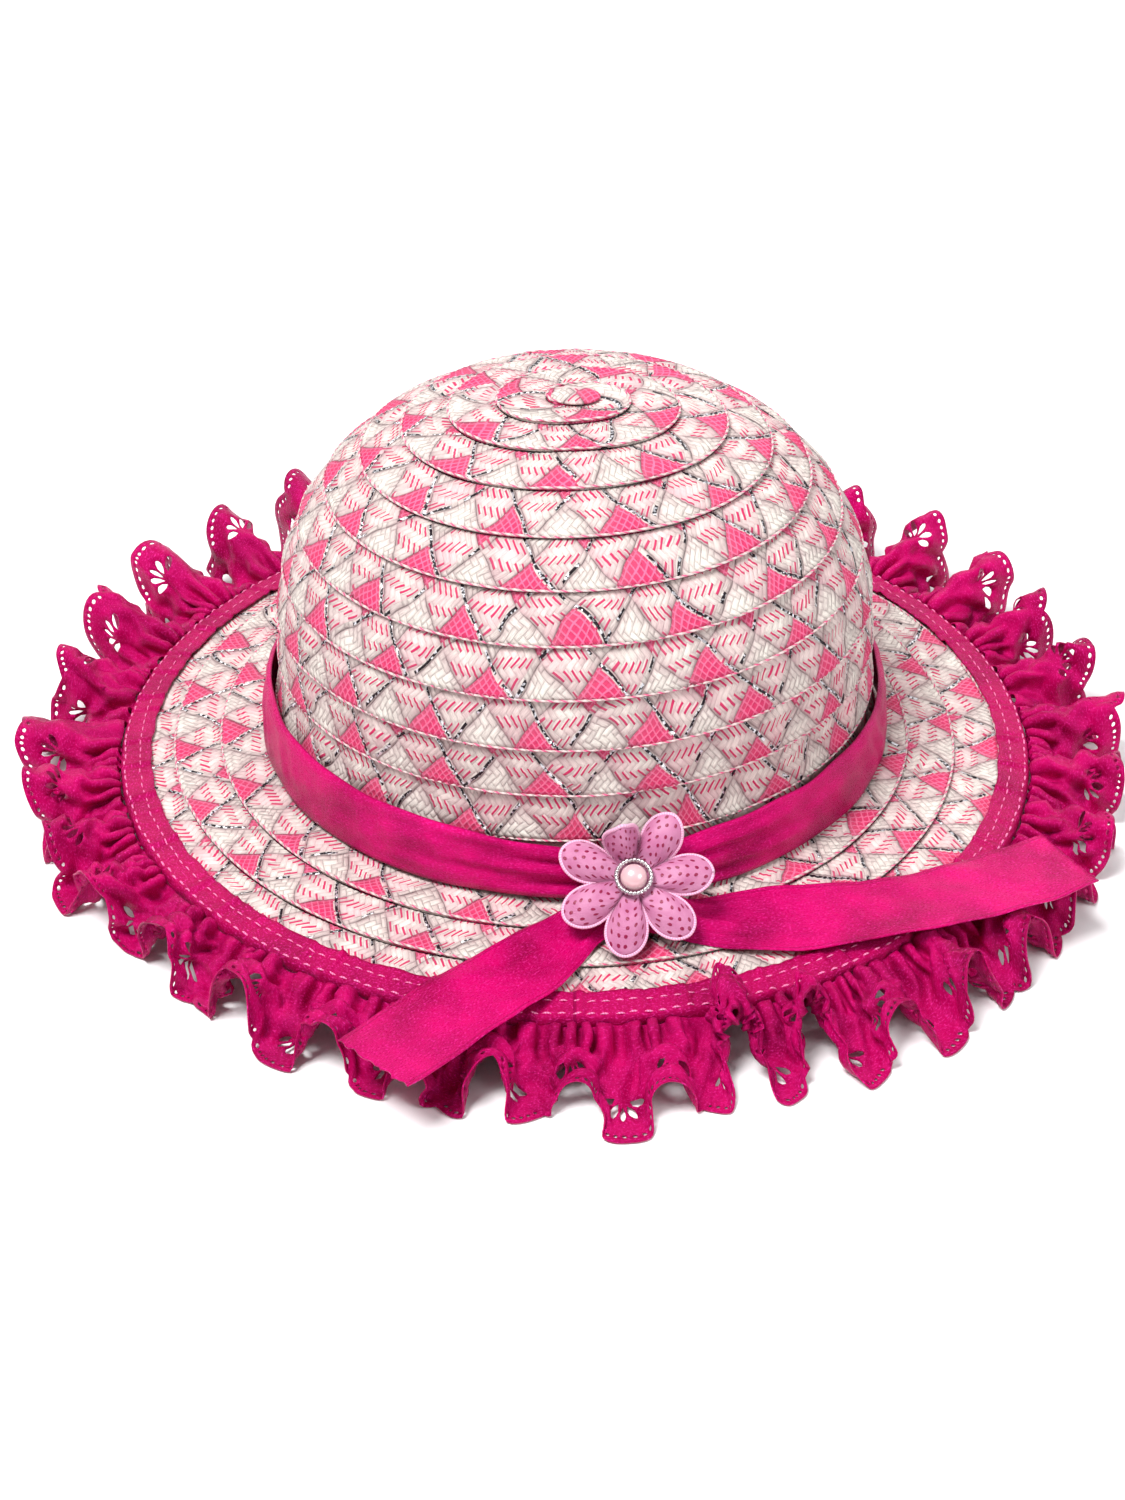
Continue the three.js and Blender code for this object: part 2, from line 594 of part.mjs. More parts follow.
// Flower: padded petals round a flat seat, in its own plane with its back at z = 0
function flowerGeometry() {
  const steps = PETALS.length * PETAL_STEPS;
  const rings = PETAL_RINGS;
  const front = [new THREE.Vector3(0, 0, FLOWER_SEAT)];
  const back = [new THREE.Vector3(0, 0, 0)];
  const bendRadius = FLOWER_RADIUS * PETAL_NOTCH;
  for (let i = 0; i < steps; i += 1) {
    const turn = PETALS[0].turn + (360 * i) / steps;
    const { petal, across } = petalAt(turn);
    const lobe = Math.sqrt(Math.max(0, 1 - Math.abs(across) ** PETAL_LOBE_POWER));
    const edge = FLOWER_RADIUS * mix(PETAL_NOTCH, petal.reach, lobe);
    const lift = petal.lift * (1 - Math.abs(across) ** PETAL_LIFT_POWER) * DEGREE;
    for (const ring of rings) {
      const radius = ring * edge;
      const puff = Math.sin(Math.PI * Math.min(1, (1 - ring) * PETAL_PUFF_SPREAD)) * (1 - across * across);
      const pad = ring === rings[0] ? FLOWER_SEAT : mix(PIPING, PETAL_PAD, puff);
      const beyond = Math.max(0, radius - bendRadius);
      const flat = radius - beyond + beyond * Math.cos(lift);
      const rise = beyond * Math.sin(lift);
      const place = (height) => {
        const tilt = beyond > 0 ? lift : 0;
        const reach = flat - height * Math.sin(tilt);
        const z = rise + height * Math.cos(tilt);
        return new THREE.Vector3(reach * Math.cos(turn * DEGREE), reach * Math.sin(turn * DEGREE), z);
      };
      front.push(place(pad));
      back.push(place(0));
    }
  }
  const points = [...front, ...back];
  const under = front.length;
  const at = (i, ring) => 1 + (i % steps) * rings.length + ring;
  const triangles = [];
  const lastRing = rings.length - 1;
  for (let i = 0; i < steps; i += 1) {
    triangles.push([0, at(i, 0), at(i + 1, 0)]);
    triangles.push([under, under + at(i + 1, 0), under + at(i, 0)]);
    for (let ring = 0; ring < lastRing; ring += 1) {
      const [a, b, c, d] = [at(i, ring), at(i, ring + 1), at(i + 1, ring + 1), at(i + 1, ring)];
      triangles.push([a, b, c], [a, c, d]);
      triangles.push([under + a, under + c, under + b], [under + a, under + d, under + c]);
    }
    const [e, f] = [at(i, lastRing), at(i + 1, lastRing)];
    triangles.push([e, under + e, under + f], [e, under + f, f]);
  }
  return closedBody(points, triangles);
}

// Half bead with a flat back
function pearlGeometry() {
  const profile = [new THREE.Vector2(0, 0)];
  for (let i = 0; i < PEARL_RISE_STEPS; i += 1) {
    const turn = (Math.PI / 2) * (i / PEARL_RISE_STEPS);
    profile.push(new THREE.Vector2(PEARL_RADIUS * Math.cos(turn), PEARL_HEIGHT * Math.sin(turn)));
  }
  profile.push(new THREE.Vector2(0, PEARL_HEIGHT));
  const geometry = new THREE.LatheGeometry(profile, PEARL_SIDES);
  geometry.rotateX(Math.PI / 2);
  return facingOut(geometry);
}

// Twisted ring round the pearl
function settingGeometry() {
  const centre = PEARL_RADIUS + GAP + ROPE_RADIUS;
  return ringBody(ROPE_TWISTS * 2, (azimuth) => {
    const section = [];
    for (let k = 0; k < ROPE_SIDES; k += 1) {
      const turn = (2 * Math.PI * k) / ROPE_SIDES;
      const swell = 1 - ROPE_SWELL * (1 + Math.cos(turn + azimuth * ROPE_TWISTS));
      const radius = ROPE_RADIUS * swell;
      section.push([centre + radius * Math.cos(turn), ROPE_RADIUS + radius * Math.sin(turn)]);
    }
    return section;
  });
}

function finish(color, roughness, metalness) {
  return new THREE.MeshStandardMaterial({ color, roughness, metalness });
}

function addPiece(parent, name, geometry, material) {
  const mesh = new THREE.Mesh(geometry, material);
  mesh.name = name;
  parent.add(mesh);
  return mesh;
}

const hat = new THREE.Group();
addPiece(hat, 'crown', crownGeometry(), finish(0xe9c9cc, 0.8, 0));
addPiece(hat, 'brim', brimGeometry(), finish(0xecd3d2, 0.8, 0));
addPiece(hat, 'hatband', hatbandGeometry(), finish(0xc9045f, 0.38, 0));
addPiece(hat, 'tail_left', tailGeometry(LEFT_TAIL), finish(0xd2106c, 0.38, 0));
addPiece(hat, 'tail_right', tailGeometry(RIGHT_TAIL), finish(0xcd0a66, 0.38, 0));
addPiece(hat, 'binding', bindingGeometry(), finish(0xc8085c, 0.42, 0));
addPiece(hat, 'ruffle', ruffleGeometry(), finish(0xc4045a, 0.42, 0));

const bloom = new THREE.Group();
bloom.position.set(FLOWER_OFFSET, -flowerOut, FLOWER_RISE);
bloom.rotation.x = (90 - FLOWER_TILT_ANGLE) * DEGREE;
hat.add(bloom);
addPiece(bloom, 'flower', flowerGeometry(), finish(0xd98bb4, 0.6, 0));
addPiece(bloom, 'pearl', pearlGeometry(), finish(0xd9b9b8, 0.22, 0)).position.z = FLOWER_SEAT + GAP;
addPiece(bloom, 'pearl_setting', settingGeometry(), finish(0xc9c4c2, 0.3, 1)).position.z = FLOWER_SEAT + GAP;

// The origin is the middle of the underside, where the frill's lowest folds meet the surface
hat.updateMatrixWorld(true);
const box = new THREE.Box3().setFromObject(hat, true);
const middle = box.getCenter(new THREE.Vector3());
hat.position.set(-middle.x, -middle.y, -box.min.z);
hat.updateMatrixWorld(true);

export default hat;
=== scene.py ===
"""A child's sun hat of plaited straw braid with satin trimmings, dressed for its pictures.

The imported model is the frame. Sizes below are in millimetres, measured from the crown's axis and the
level of the straw's edge; meshes are placed in metres. The front of the hat faces -Y and an azimuth runs
from the front towards +X.
"""

import logging
import math
from dataclasses import dataclass, field
from enum import Enum
from typing import NamedTuple, Optional, Sequence, Tuple, Union

import bmesh
import bpy
import numpy as np
from mathutils import Matrix, Vector
from mathutils.geometry import delaunay_2d_cdt


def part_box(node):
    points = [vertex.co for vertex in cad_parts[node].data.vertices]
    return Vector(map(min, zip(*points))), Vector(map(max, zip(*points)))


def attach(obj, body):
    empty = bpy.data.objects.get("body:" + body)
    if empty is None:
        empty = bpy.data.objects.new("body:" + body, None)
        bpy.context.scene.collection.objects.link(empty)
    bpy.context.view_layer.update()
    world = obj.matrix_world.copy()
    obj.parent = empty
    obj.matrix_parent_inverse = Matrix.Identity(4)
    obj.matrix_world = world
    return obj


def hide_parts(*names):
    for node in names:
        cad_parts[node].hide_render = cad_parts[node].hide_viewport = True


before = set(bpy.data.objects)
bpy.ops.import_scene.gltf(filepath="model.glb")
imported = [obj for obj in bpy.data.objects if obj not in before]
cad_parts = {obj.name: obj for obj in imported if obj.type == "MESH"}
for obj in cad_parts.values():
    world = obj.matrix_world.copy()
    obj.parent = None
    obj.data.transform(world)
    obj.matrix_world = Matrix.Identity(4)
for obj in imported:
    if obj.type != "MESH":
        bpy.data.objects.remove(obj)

LOG = logging.getLogger("sun_hat")
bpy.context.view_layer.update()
MM = 0.001
SELVEDGE = 11.2

Colour = Tuple[float, float, float, float]
Socket = bpy.types.NodeSocket
Number = Union[float, Socket]


def tone(red: int, green: int, blue: int) -> Colour:
    """Gives a screen colour as the linear colour that a shader takes.

    Args:
        red: 0 to 255.
        green: 0 to 255.
        blue: 0 to 255.

    Returns:
        Linear red, green, blue and alpha.
    """

    def linear(value: int) -> float:
        """Undoes the screen's curve for one channel."""
        share = value / 255
        return share / 12.92 if share <= 0.04045 else ((share + 0.055) / 1.055) ** 2.4

    return (linear(red), linear(green), linear(blue), 1.0)


def ease(share: np.ndarray) -> np.ndarray:
    """Runs smoothly from 0 to 1 as share does."""
    return (1 - np.cos(np.pi * np.clip(share, 0, 1))) / 2


def blend(low: np.ndarray, high: np.ndarray, share: np.ndarray) -> np.ndarray:
    """Runs from low to high as share runs from 0 to 1."""
    return low + (high - low) * share


def harmonic(order: int, swing: np.ndarray) -> np.ndarray:
    """Share of one harmonic in a line whose direction swings to and fro along its length.

    Args:
        order: The harmonic, from 0 for the line's advance.
        swing: Largest angle that the line turns to, in radians.

    Returns:
        The share, as a part of the line's length.
    """
    turn = (np.arange(48) + 0.5) * np.pi / 48
    return np.cos(order * turn - swing[..., None] * np.sin(turn)).mean(-1)


def ripple(value: np.ndarray, seed: int, waves: int = 5) -> np.ndarray:
    """A smooth irregular wave of height about 1.

    Args:
        value: Place along the wave, in wavelengths.
        seed: Picks the wave.
        waves: How many sines it is summed from.

    Returns:
        The height at each value.
    """
    rng = np.random.default_rng(seed)
    total = np.zeros_like(value)
    for _ in range(waves):
        total = total + np.sin(value * 2 * np.pi * rng.uniform(0.5, 1.6) + rng.uniform(0, 2 * np.pi))
    return total / math.sqrt(waves)


@dataclass(frozen=True)
class Place:
    """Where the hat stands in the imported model's frame."""

    axis_x: float
    axis_y: float
    level: float

    @staticmethod
    def from_frame() -> "Place":
        """Reads the crown's axis and the straw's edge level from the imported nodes."""
        low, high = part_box("crown")
        brim_fall = StrawForm().brim_fall
        return Place((low.x + high.x) / 2, (low.y + high.y) / 2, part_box("brim")[1].z - brim_fall * MM)

    def world(self, points: np.ndarray) -> np.ndarray:
        """Moves points from hat millimetres to the frame's metres."""
        return points * MM + np.array([self.axis_x, self.axis_y, self.level])


@dataclass(frozen=True)
class StrawForm:
    """The straw's outline, followed by an arc length that is 0 at the crease between brim and crown."""

    crown_radius: float = 80.8
    crown_height: float = 103.3
    wall_rise: float = 35.4
    flare: float = 3.8
    flare_power: float = 1.5
    dome_power: float = 2.28
    brim_shown: float = 33.4
    brim_under_binding: float = 7.4
    brim_fall: float = 5.0
    crease_gap: float = 0.3
    button_oval: float = 0.3
    button_reach: float = 40.0

    @property
    def foot_radius(self) -> float:
        """Radius of the crown's foot."""
        return self.crown_radius + self.flare

    @property
    def edge_radius(self) -> float:
        """Radius at which the straw goes under the binding."""
        return self.foot_radius + self.brim_shown

    def brim_top(self, radius: np.ndarray) -> np.ndarray:
        """Height of the brim's top face."""
        return self.brim_fall * (self.edge_radius - radius) / self.brim_shown

    def crown_at(self, z: np.ndarray) -> np.ndarray:
        """Radius of the crown at a height on its lower wall."""
        return self.crown_radius + self.flare * np.clip(1 - z / self.wall_rise, 0, 1) ** self.flare_power

    def crown_line(self) -> Tuple[np.ndarray, np.ndarray, np.ndarray]:
        """Arc length, radius and height along the crown from foot to top."""
        wall = np.linspace(self.brim_fall + self.crease_gap, self.wall_rise, 160, endpoint=False)
        turn = np.linspace(0, np.pi / 2, 500)
        power = 2 / self.dome_power
        radius = np.r_[self.crown_at(wall), self.crown_radius * np.clip(np.cos(turn), 0, 1) ** power]
        height = np.r_[wall, blend(self.wall_rise, self.crown_height, np.sin(turn) ** power)]
        arc = np.r_[0, np.cumsum(np.hypot(np.diff(radius), np.diff(height)))]
        return arc, radius, height

    def brim_line(self) -> Tuple[np.ndarray, np.ndarray, np.ndarray]:
        """Arc length, radius and height along the brim from its outer edge to the crease."""
        radius = np.linspace(self.edge_radius + self.brim_under_binding, self.foot_radius, 60)
        height = self.brim_top(radius)
        arc = np.r_[0, np.cumsum(np.hypot(np.diff(radius), np.diff(height)))]
        return arc - arc[-1], radius, height


class Line:
    """One stretch of the outline, with its radius, height and outward direction at each arc length."""

    def __init__(self, form: StrawForm, samples: Tuple[np.ndarray, np.ndarray, np.ndarray]) -> None:
        """Keeps the samples and works out the direction that the face looks in."""
        self.form = form
        self.arc, self.radius, self.height = samples
        self.low = float(self.arc[0])
        self.high = float(self.arc[-1])
        out_r = np.gradient(self.height, self.arc)
        out_z = -np.gradient(self.radius, self.arc)
        size = np.hypot(out_r, out_z)
        self.out_r, self.out_z = out_r / size, out_z / size

    def points(self, arc: np.ndarray, azimuth: np.ndarray, lift: np.ndarray) -> np.ndarray:
        """Points over the outline.

        Args:
            arc: Arc lengths along the outline.
            azimuth: Azimuths in radians.
            lift: Heights over the surface.

        Returns:
            Points in hat millimetres, in the shape of arc with 3 added.
        """
        left = self.high - arc
        oval = self.form.button_oval * np.exp(-((left / self.form.button_reach) ** 2))
        if self.low >= 0:
            arc = self.high - left * (1 - oval * np.cos(azimuth) ** 2)
        at = np.clip(arc, self.low, self.high)
        radius = np.interp(at, self.arc, self.radius) + lift * np.interp(at, self.arc, self.out_r)
        height = np.interp(at, self.arc, self.height) + lift * np.interp(at, self.arc, self.out_z)
        radius = np.maximum(radius, 0)
        return np.stack([radius * np.sin(azimuth), -radius * np.cos(azimuth), height], -1)


class Mesh:
    """Gathers points, faces and pattern coordinates, and makes an object of them."""

    def __init__(self) -> None:
        """Starts empty."""
        self.points: list = []
        self.faces: list = []
        self.marks: list = []
        self.count = 0

    def grid(
        self,
        points: np.ndarray,
        marks: np.ndarray,
        keep: Optional[np.ndarray] = None,
        closed: bool = False,
        flip: bool = False,
    ) -> None:
        """Adds a grid of four-sided faces.

        Args:
            points: Rows by columns by 3, in metres.
            marks: Rows by columns by 2, the pattern coordinates.
            keep: Which faces to keep, if not all.
            closed: Whether the last row joins the first.
            flip: Whether the faces look the other way.
        """
        rows, columns = points.shape[:2]
        index = np.arange(rows * columns).reshape(rows, columns) + self.count
        if closed:
            index = np.vstack([index, index[:1]])
        quads = np.stack([index[:-1, :-1], index[1:, :-1], index[1:, 1:], index[:-1, 1:]], -1)
        if keep is not None:
            quads = quads[keep]
        quads = quads.reshape(-1, 4)
        self.faces.append(quads[:, ::-1] if flip else quads)
        self.points.append(points.reshape(-1, 3))
        self.marks.append(marks.reshape(-1, 2))
        self.count += rows * columns

    def build(self, name: str, map_name: str = "weave") -> bpy.types.Object:
        """Makes the object, with its place in its mesh.

        Args:
            name: The object's name.
            map_name: The name of its pattern coordinates.

        Returns:
            The new object, smooth shaded.
        """
        points = np.concatenate(self.points)
        faces = np.concatenate(self.faces)
        marks = np.concatenate(self.marks)
        mesh = bpy.data.meshes.new(name)
        mesh.from_pydata(points.tolist(), [], faces.tolist())
        loops = np.empty(len(mesh.loops), np.int32)
        mesh.loops.foreach_get("vertex_index", loops)
        layer = mesh.uv_layers.new(name=map_name)
        layer.data.foreach_set("uv", marks[loops].astype(np.float32).ravel())
        mesh.shade_smooth()
        made = bpy.data.objects.new(name, mesh)
        bpy.context.scene.collection.objects.link(made)
        drop_loose(made)
        return made


def select_only(target: bpy.types.Object) -> None:
    """Selects one object and makes it active."""
    bpy.ops.object.select_all(action="DESELECT")
    target.select_set(True)
    bpy.context.view_layer.objects.active = target


def drop_loose(target: bpy.types.Object, merge: float = 0.0) -> None:
    """Removes faces without area and points that no face uses.

    Args:
        target: The object to clean.
        merge: Points closer than this, in metres, are joined.
    """
    work = bmesh.new()
    work.from_mesh(target.data)
    if merge > 0:
        bmesh.ops.remove_doubles(work, verts=work.verts, dist=merge)
    loose = [v for v in work.verts if not v.link_faces]
    bmesh.ops.delete(work, geom=loose, context="VERTS")
    work.to_mesh(target.data)
    work.free()


def thicken(target: bpy.types.Object, wall: float, middle: float = 0.0) -> None:
    """Gives a sheet its thickness.

    Args:
        target: The sheet.
        wall: Its thickness in millimetres.
        middle: Where the sheet lies in it: -1 under, 0 in the middle, 1 over.
    """
    select_only(target)
    solidify = target.modifiers.new("wall", "SOLIDIFY")
    solidify.thickness = wall * MM
    solidify.offset = middle
    solidify.use_even_offset = False
    bpy.ops.object.modifier_apply(modifier=solidify.name)


def tube(
    mesh: Mesh, path: np.ndarray, radius: float, sides: int, closed: bool = False, taper: bool = False
) -> None:
    """Adds a round tube along a path.

    Args:
        mesh: Where the tube goes.
        path: Points along it, in metres.
        radius: Its radius in millimetres.
        sides: Its number of sides.
        closed: Whether the path closes on itself.
        taper: Whether both ends narrow to a point.
    """
    if closed:
        ahead = np.roll(path, -1, 0) - np.roll(path, 1, 0)
    else:
        ahead = np.gradient(path, axis=0)
    ahead = ahead / np.linalg.norm(ahead, axis=1, keepdims=True)
    side = np.cross(ahead, np.array([0.0, 0.0, 1.0]))
    weak = np.linalg.norm(side, axis=1) < 1e-6
    side[weak] = np.array([1.0, 0.0, 0.0])
    side = side / np.linalg.norm(side, axis=1, keepdims=True)
    up = np.cross(side, ahead)
    turn = np.linspace(0, 2 * np.pi, sides + 1)
    size = np.full(len(path), radius * MM)
    if taper:
        size = size * np.sqrt(np.clip(np.sin(np.pi * np.linspace(0.0, 1, len(path))), 0.0, 1))
    ring = side[:, None] * np.cos(turn)[None, :, None] + up[:, None] * np.sin(turn)[None, :, None]
    points = path[:, None] + ring * size[:, None, None]
    along = np.r_[0, np.cumsum(np.linalg.norm(np.diff(path, axis=0), axis=1))] / MM
    marks = np.stack(np.broadcast_arrays(along[:, None], (turn / (2 * np.pi))[None]), -1)
    mesh.grid(points, marks, closed=closed, flip=True)


class Shade:
    """One material, built node by node."""

    def __init__(self, name: str) -> None:
        """Starts with a plain shader."""
        self.material = bpy.data.materials.new(name)
        self.material.use_nodes = True
        self.nodes = self.material.node_tree.nodes
        self.links = self.material.node_tree.links
        self.shader = self.nodes["Principled BSDF"]

    def plug(self, socket: Socket, value: Union[Number, Sequence[float]]) -> None:
        """Sets a socket to a value, or links it."""
        if isinstance(value, bpy.types.NodeSocket):
            self.links.new(value, socket)
        else:
            socket.default_value = value

    def math(self, kind: str, first: Number, second: Number = 0.0, clamp: bool = False) -> Socket:
        """One sum.

        Args:
            kind: Blender's name of the operation.
            first: Its first number.
            second: Its second number.
            clamp: Whether the result is kept from 0 to 1.

        Returns:
            The result.
        """
        node = self.nodes.new("ShaderNodeMath")
        node.operation = kind
        node.use_clamp = clamp
        self.plug(node.inputs[0], first)
        self.plug(node.inputs[1], second)
        return node.outputs[0]

    def pick(self, share: Socket, low: Number, high: Number) -> Socket:
        """Runs from low to high as share runs from 0 to 1."""
        return self.math("ADD", low, self.math("MULTIPLY", share, self.math("SUBTRACT", high, low)))

    def below(self, value: Socket, limit: float, soft: float) -> Socket:
        """Is 1 where value is under limit, with a soft step."""
        return self.math("MULTIPLY", self.math("SUBTRACT", limit, value), 1 / soft, clamp=True)

    def mix(self, share: Number, low: Union[Socket, Colour], high: Union[Socket, Colour]) -> Socket:
        """Mixes two colours."""
        node = self.nodes.new("ShaderNodeMix")
        node.data_type = "RGBA"
        self.plug(node.inputs[0], share)
        self.plug(node.inputs[6], low)
        self.plug(node.inputs[7], high)
        return node.outputs[2]

    def map(self, name: str = "weave") -> Tuple[Socket, Socket]:
        """The piece's own pattern coordinates."""
        node = self.nodes.new("ShaderNodeUVMap")
        node.uv_map = name
        split = self.nodes.new("ShaderNodeSeparateXYZ")
        self.links.new(node.outputs[0], split.inputs[0])
        return split.outputs[0], split.outputs[1]

    def place(self) -> Socket:
        """The point's place on the object."""
        return self.nodes.new("ShaderNodeTexCoord").outputs["Object"]

    def vector(self, x: Number, y: Number, z: Number = 0.0) -> Socket:
        """Joins three numbers."""
        node = self.nodes.new("ShaderNodeCombineXYZ")
        for socket, value in zip(node.inputs, (x, y, z)):
            self.plug(socket, value)
        return node.outputs[0]

    def noise(self, vector: Socket, scale: float, detail: float = 2.0) -> Socket:
        """Smooth noise from 0 to 1."""
        node = self.nodes.new("ShaderNodeTexNoise")
        node.inputs["Scale"].default_value = scale
        node.inputs["Detail"].default_value = detail
        self.links.new(vector, node.inputs["Vector"])
        return node.outputs[0]

    def chance(self, vector: Socket) -> Socket:
        """A number from 0 to 1 that is fixed for each whole vector."""
        node = self.nodes.new("ShaderNodeTexWhiteNoise")
        node.noise_dimensions = "3D"
        self.links.new(vector, node.inputs["Vector"])
        return node.outputs[0]

    def dots(self, vector: Socket, scale: float, randomness: float) -> Socket:
        """Distance from the nearest of evenly spread points."""
        node = self.nodes.new("ShaderNodeTexVoronoi")
        node.voronoi_dimensions = "2D"
        node.inputs["Scale"].default_value = scale
        node.inputs["Randomness"].default_value = randomness
        self.links.new(vector, node.inputs["Vector"])
        return node.outputs["Distance"]

    def bump(self, height: Socket, depth: float, strength: float = 1.0) -> None:
        """Raises the surface, depth in millimetres where height is 1."""
        node = self.nodes.new("ShaderNodeBump")
        node.inputs["Strength"].default_value = strength
        node.inputs["Distance"].default_value = depth * MM
        self.links.new(height, node.inputs["Height"])
        self.links.new(node.outputs[0], self.shader.inputs["Normal"])

    def set(self, **values: Union[Number, Sequence[float]]) -> "Shade":
        """Sets the shader's sockets; an underscore stands for a space."""
        for name, value in values.items():
            self.plug(self.shader.inputs[name.replace("_", " ")], value)
        return self


@dataclass(frozen=True)
class StrawFinish:
    """Plaited paper straw: white strands, pink threads over them and one dark metallic thread, with painted
    shade at the strands' edges and in the grooves between blocks.
    """

    strands: int = 14
    pink_strands: int = 6
    white: Colour = tone(238, 232, 222)
    # Darker white, reached by the painted shade at the floats' edges and by the real fibre and per-strand
    # tone.
    white_shade: Colour = tone(172, 158, 154)
    blush: Colour = tone(230, 170, 182)
    pink: Colour = tone(204, 34, 92)
    net: Colour = tone(236, 112, 152)
    crimson: Colour = tone(212, 46, 98)
    glint: Colour = tone(236, 236, 242)
    dark: Colour = tone(30, 18, 28)
    # Colour of the painted shade in the grooves between blocks of strands.
    groove_painted_shade: Colour = tone(160, 108, 122)
    pink_width: float = 0.2
    glint_width: float = 0.27
    block: float = 7.0
    relief: float = 0.4
    pillow: float = 4.2
    looseness: float = 5.0
    # Strength of the painted groove shade.
    groove_shade_share: float = 0.5

    def make(self, name: str) -> bpy.types.Material:
        """Builds the weave.

        Args:
            name: The material's name.

        Returns:
            The material.
        """
        s = Shade(name)
        u, v = s.map()
        slack = s.math("SUBTRACT", s.noise(s.vector(u, v), 0.09, 2.0), 0.5)
        tug = s.math("SUBTRACT", s.noise(s.vector(v, u, 9.0), 0.11, 2.0), 0.5)
        first = s.math("ADD", s.math("ADD", u, v), s.math("MULTIPLY", slack, self.looseness))
        second = s.math("ADD", s.math("SUBTRACT", u, v), s.math("MULTIPLY", tug, self.looseness))
        first_row, second_row = s.math("FLOOR", first), s.math("FLOOR", second)
        over = s.math("FLOORED_MODULO", s.math("SUBTRACT", first_row, second_row), 4.0)
        top = s.math("LESS_THAN", over, 1.5)
        across_first = s.math("SUBTRACT", s.math("FRACT", first), 0.5)
        across_second = s.math("SUBTRACT", s.math("FRACT", second), 0.5)
        across = s.math("ABSOLUTE", s.pick(top, across_second, across_first))
        along_first = s.math("ADD", s.math("SUBTRACT", first_row, second), 1.0)
        along_second = s.math("SUBTRACT", s.math("SUBTRACT", first, second_row), 2.0)
        along = s.pick(
            top, s.math("FLOORED_MODULO", along_second, 4.0), s.math("FLOORED_MODULO", along_first, 4.0)
        )
        along = s.math("MULTIPLY", along, 0.5)
        top_row = s.pick(top, second_row, first_row)
        under_row = s.pick(top, first_row, second_row)
        count = float(self.strands)
        top_kind = s.math("FLOORED_MODULO", s.math("ADD", top_row, 0.25), count)
        under_kind = s.math("FLOORED_MODULO", s.math("ADD", under_row, 0.25), count)
        limit = self.pink_strands - 0.25
        top_pink = s.math("LESS_THAN", top_kind, limit)
        under_pink = s.math("LESS_THAN", under_kind, limit)

        round_up = s.math("SUBTRACT", 1.0, s.math("POWER", s.math("MULTIPLY", across, 2.0), 2.0), clamp=True)
        ends = s.math("ABSOLUTE", s.math("SUBTRACT", s.math("MULTIPLY", along, 2.0), 1.0))
        ends = s.math("SUBTRACT", 1.0, s.math("POWER", ends, 4.0), clamp=True)
        puff = s.math("MULTIPLY", s.math("SQRT", round_up), s.math("SQRT", ends))
        fibre_place = s.vector(s.math("MULTIPLY", across, 9.0), s.math("MULTIPLY", along, 1.6), top_row)
        fibre = s.noise(fibre_place, 1.3, 3.0)
        lot = s.chance(s.vector(top_row, s.math("FLOOR", s.math("MULTIPLY", under_row, 0.5)), top))

        # Painted shade: each white float darkens towards its edges and ends, where it curves under its
        # neighbours; the fibre streaks and the per-strand lot add real tone.
        shade = s.math("MULTIPLY", s.math("SUBTRACT", 1.0, puff), 0.34)
        shade = s.math("ADD", shade, s.math("MULTIPLY", s.math("SUBTRACT", fibre, 0.45), 1.6))
        shade = s.math("ADD", shade, s.math("MULTIPLY", lot, 0.45), clamp=True)
        white = s.mix(shade, self.white, self.white_shade)
        both_pink = s.math("MULTIPLY", top_pink, under_pink)
        some_pink = s.math("MAXIMUM", top_pink, under_pink)
        patchy = s.math("MULTIPLY", s.math("SUBTRACT", s.noise(s.place(), 90.0, 2.0), 0.38), 3.0, clamp=True)
        colour = s.mix(s.math("MULTIPLY", some_pink, s.pick(patchy, 0.05, 0.5)), white, self.blush)
        colour = s.mix(both_pink, colour, self.crimson)
        pink_line = s.math("MULTIPLY", top_pink, s.below(across, self.pink_width, 0.07))
        colour = s.mix(s.math("MULTIPLY", pink_line, s.math("SUBTRACT", 1.0, both_pink)), colour, self.pink)
        across_least = s.math(
            "MINIMUM", s.math("ABSOLUTE", across_first), s.math("ABSOLUTE", across_second)
        )
        net_line = s.math("MULTIPLY", both_pink, s.below(across_least, self.pink_width * 0.8, 0.07))
        colour = s.mix(s.math("MULTIPLY", net_line, 0.8), colour, self.net)
        # Painted shade: the colour darkens towards the groove shade where each block's lobe dips into the
        # groove between blocks.
        lobes = s.math("MULTIPLY", self.lobe(s, first), self.lobe(s, second))
        sunk = s.math("MULTIPLY", s.math("SUBTRACT", 1.0, lobes), self.groove_shade_share, clamp=True)
        colour = s.mix(sunk, colour, self.groove_painted_shade)
        glint_line = s.math("MAXIMUM", self.metal(s, first, second, 1.0), self.metal(s, second, first, 0.6))
        spark = s.noise(s.place(), 1100.0, 1.0)
        spark = s.math("MULTIPLY", s.math("SUBTRACT", spark, 0.5), 12.0, clamp=True)
        colour = s.mix(glint_line, colour, s.mix(spark, self.dark, self.glint))
        s.set(Base_Color=colour, Metallic=s.math("MULTIPLY", glint_line, s.math("MULTIPLY", spark, 0.8)))
        s.set(Roughness=s.pick(glint_line, 0.66, 0.3), Specular_IOR_Level=0.3)

        height = s.math("MULTIPLY", puff, s.pick(some_pink, 1.0, 0.5))
        height = s.math("ADD", height, s.math("MULTIPLY", s.math("MAXIMUM", pink_line, net_line), 0.35))
        height = s.math("ADD", height, s.math("MULTIPLY", fibre, 0.45))
        height = s.math("ADD", height, s.math("MULTIPLY", lobes, self.pillow))
        height = s.math("ADD", height, s.math("MULTIPLY", glint_line, 0.5))
        s.bump(height, self.relief)
        return s.material

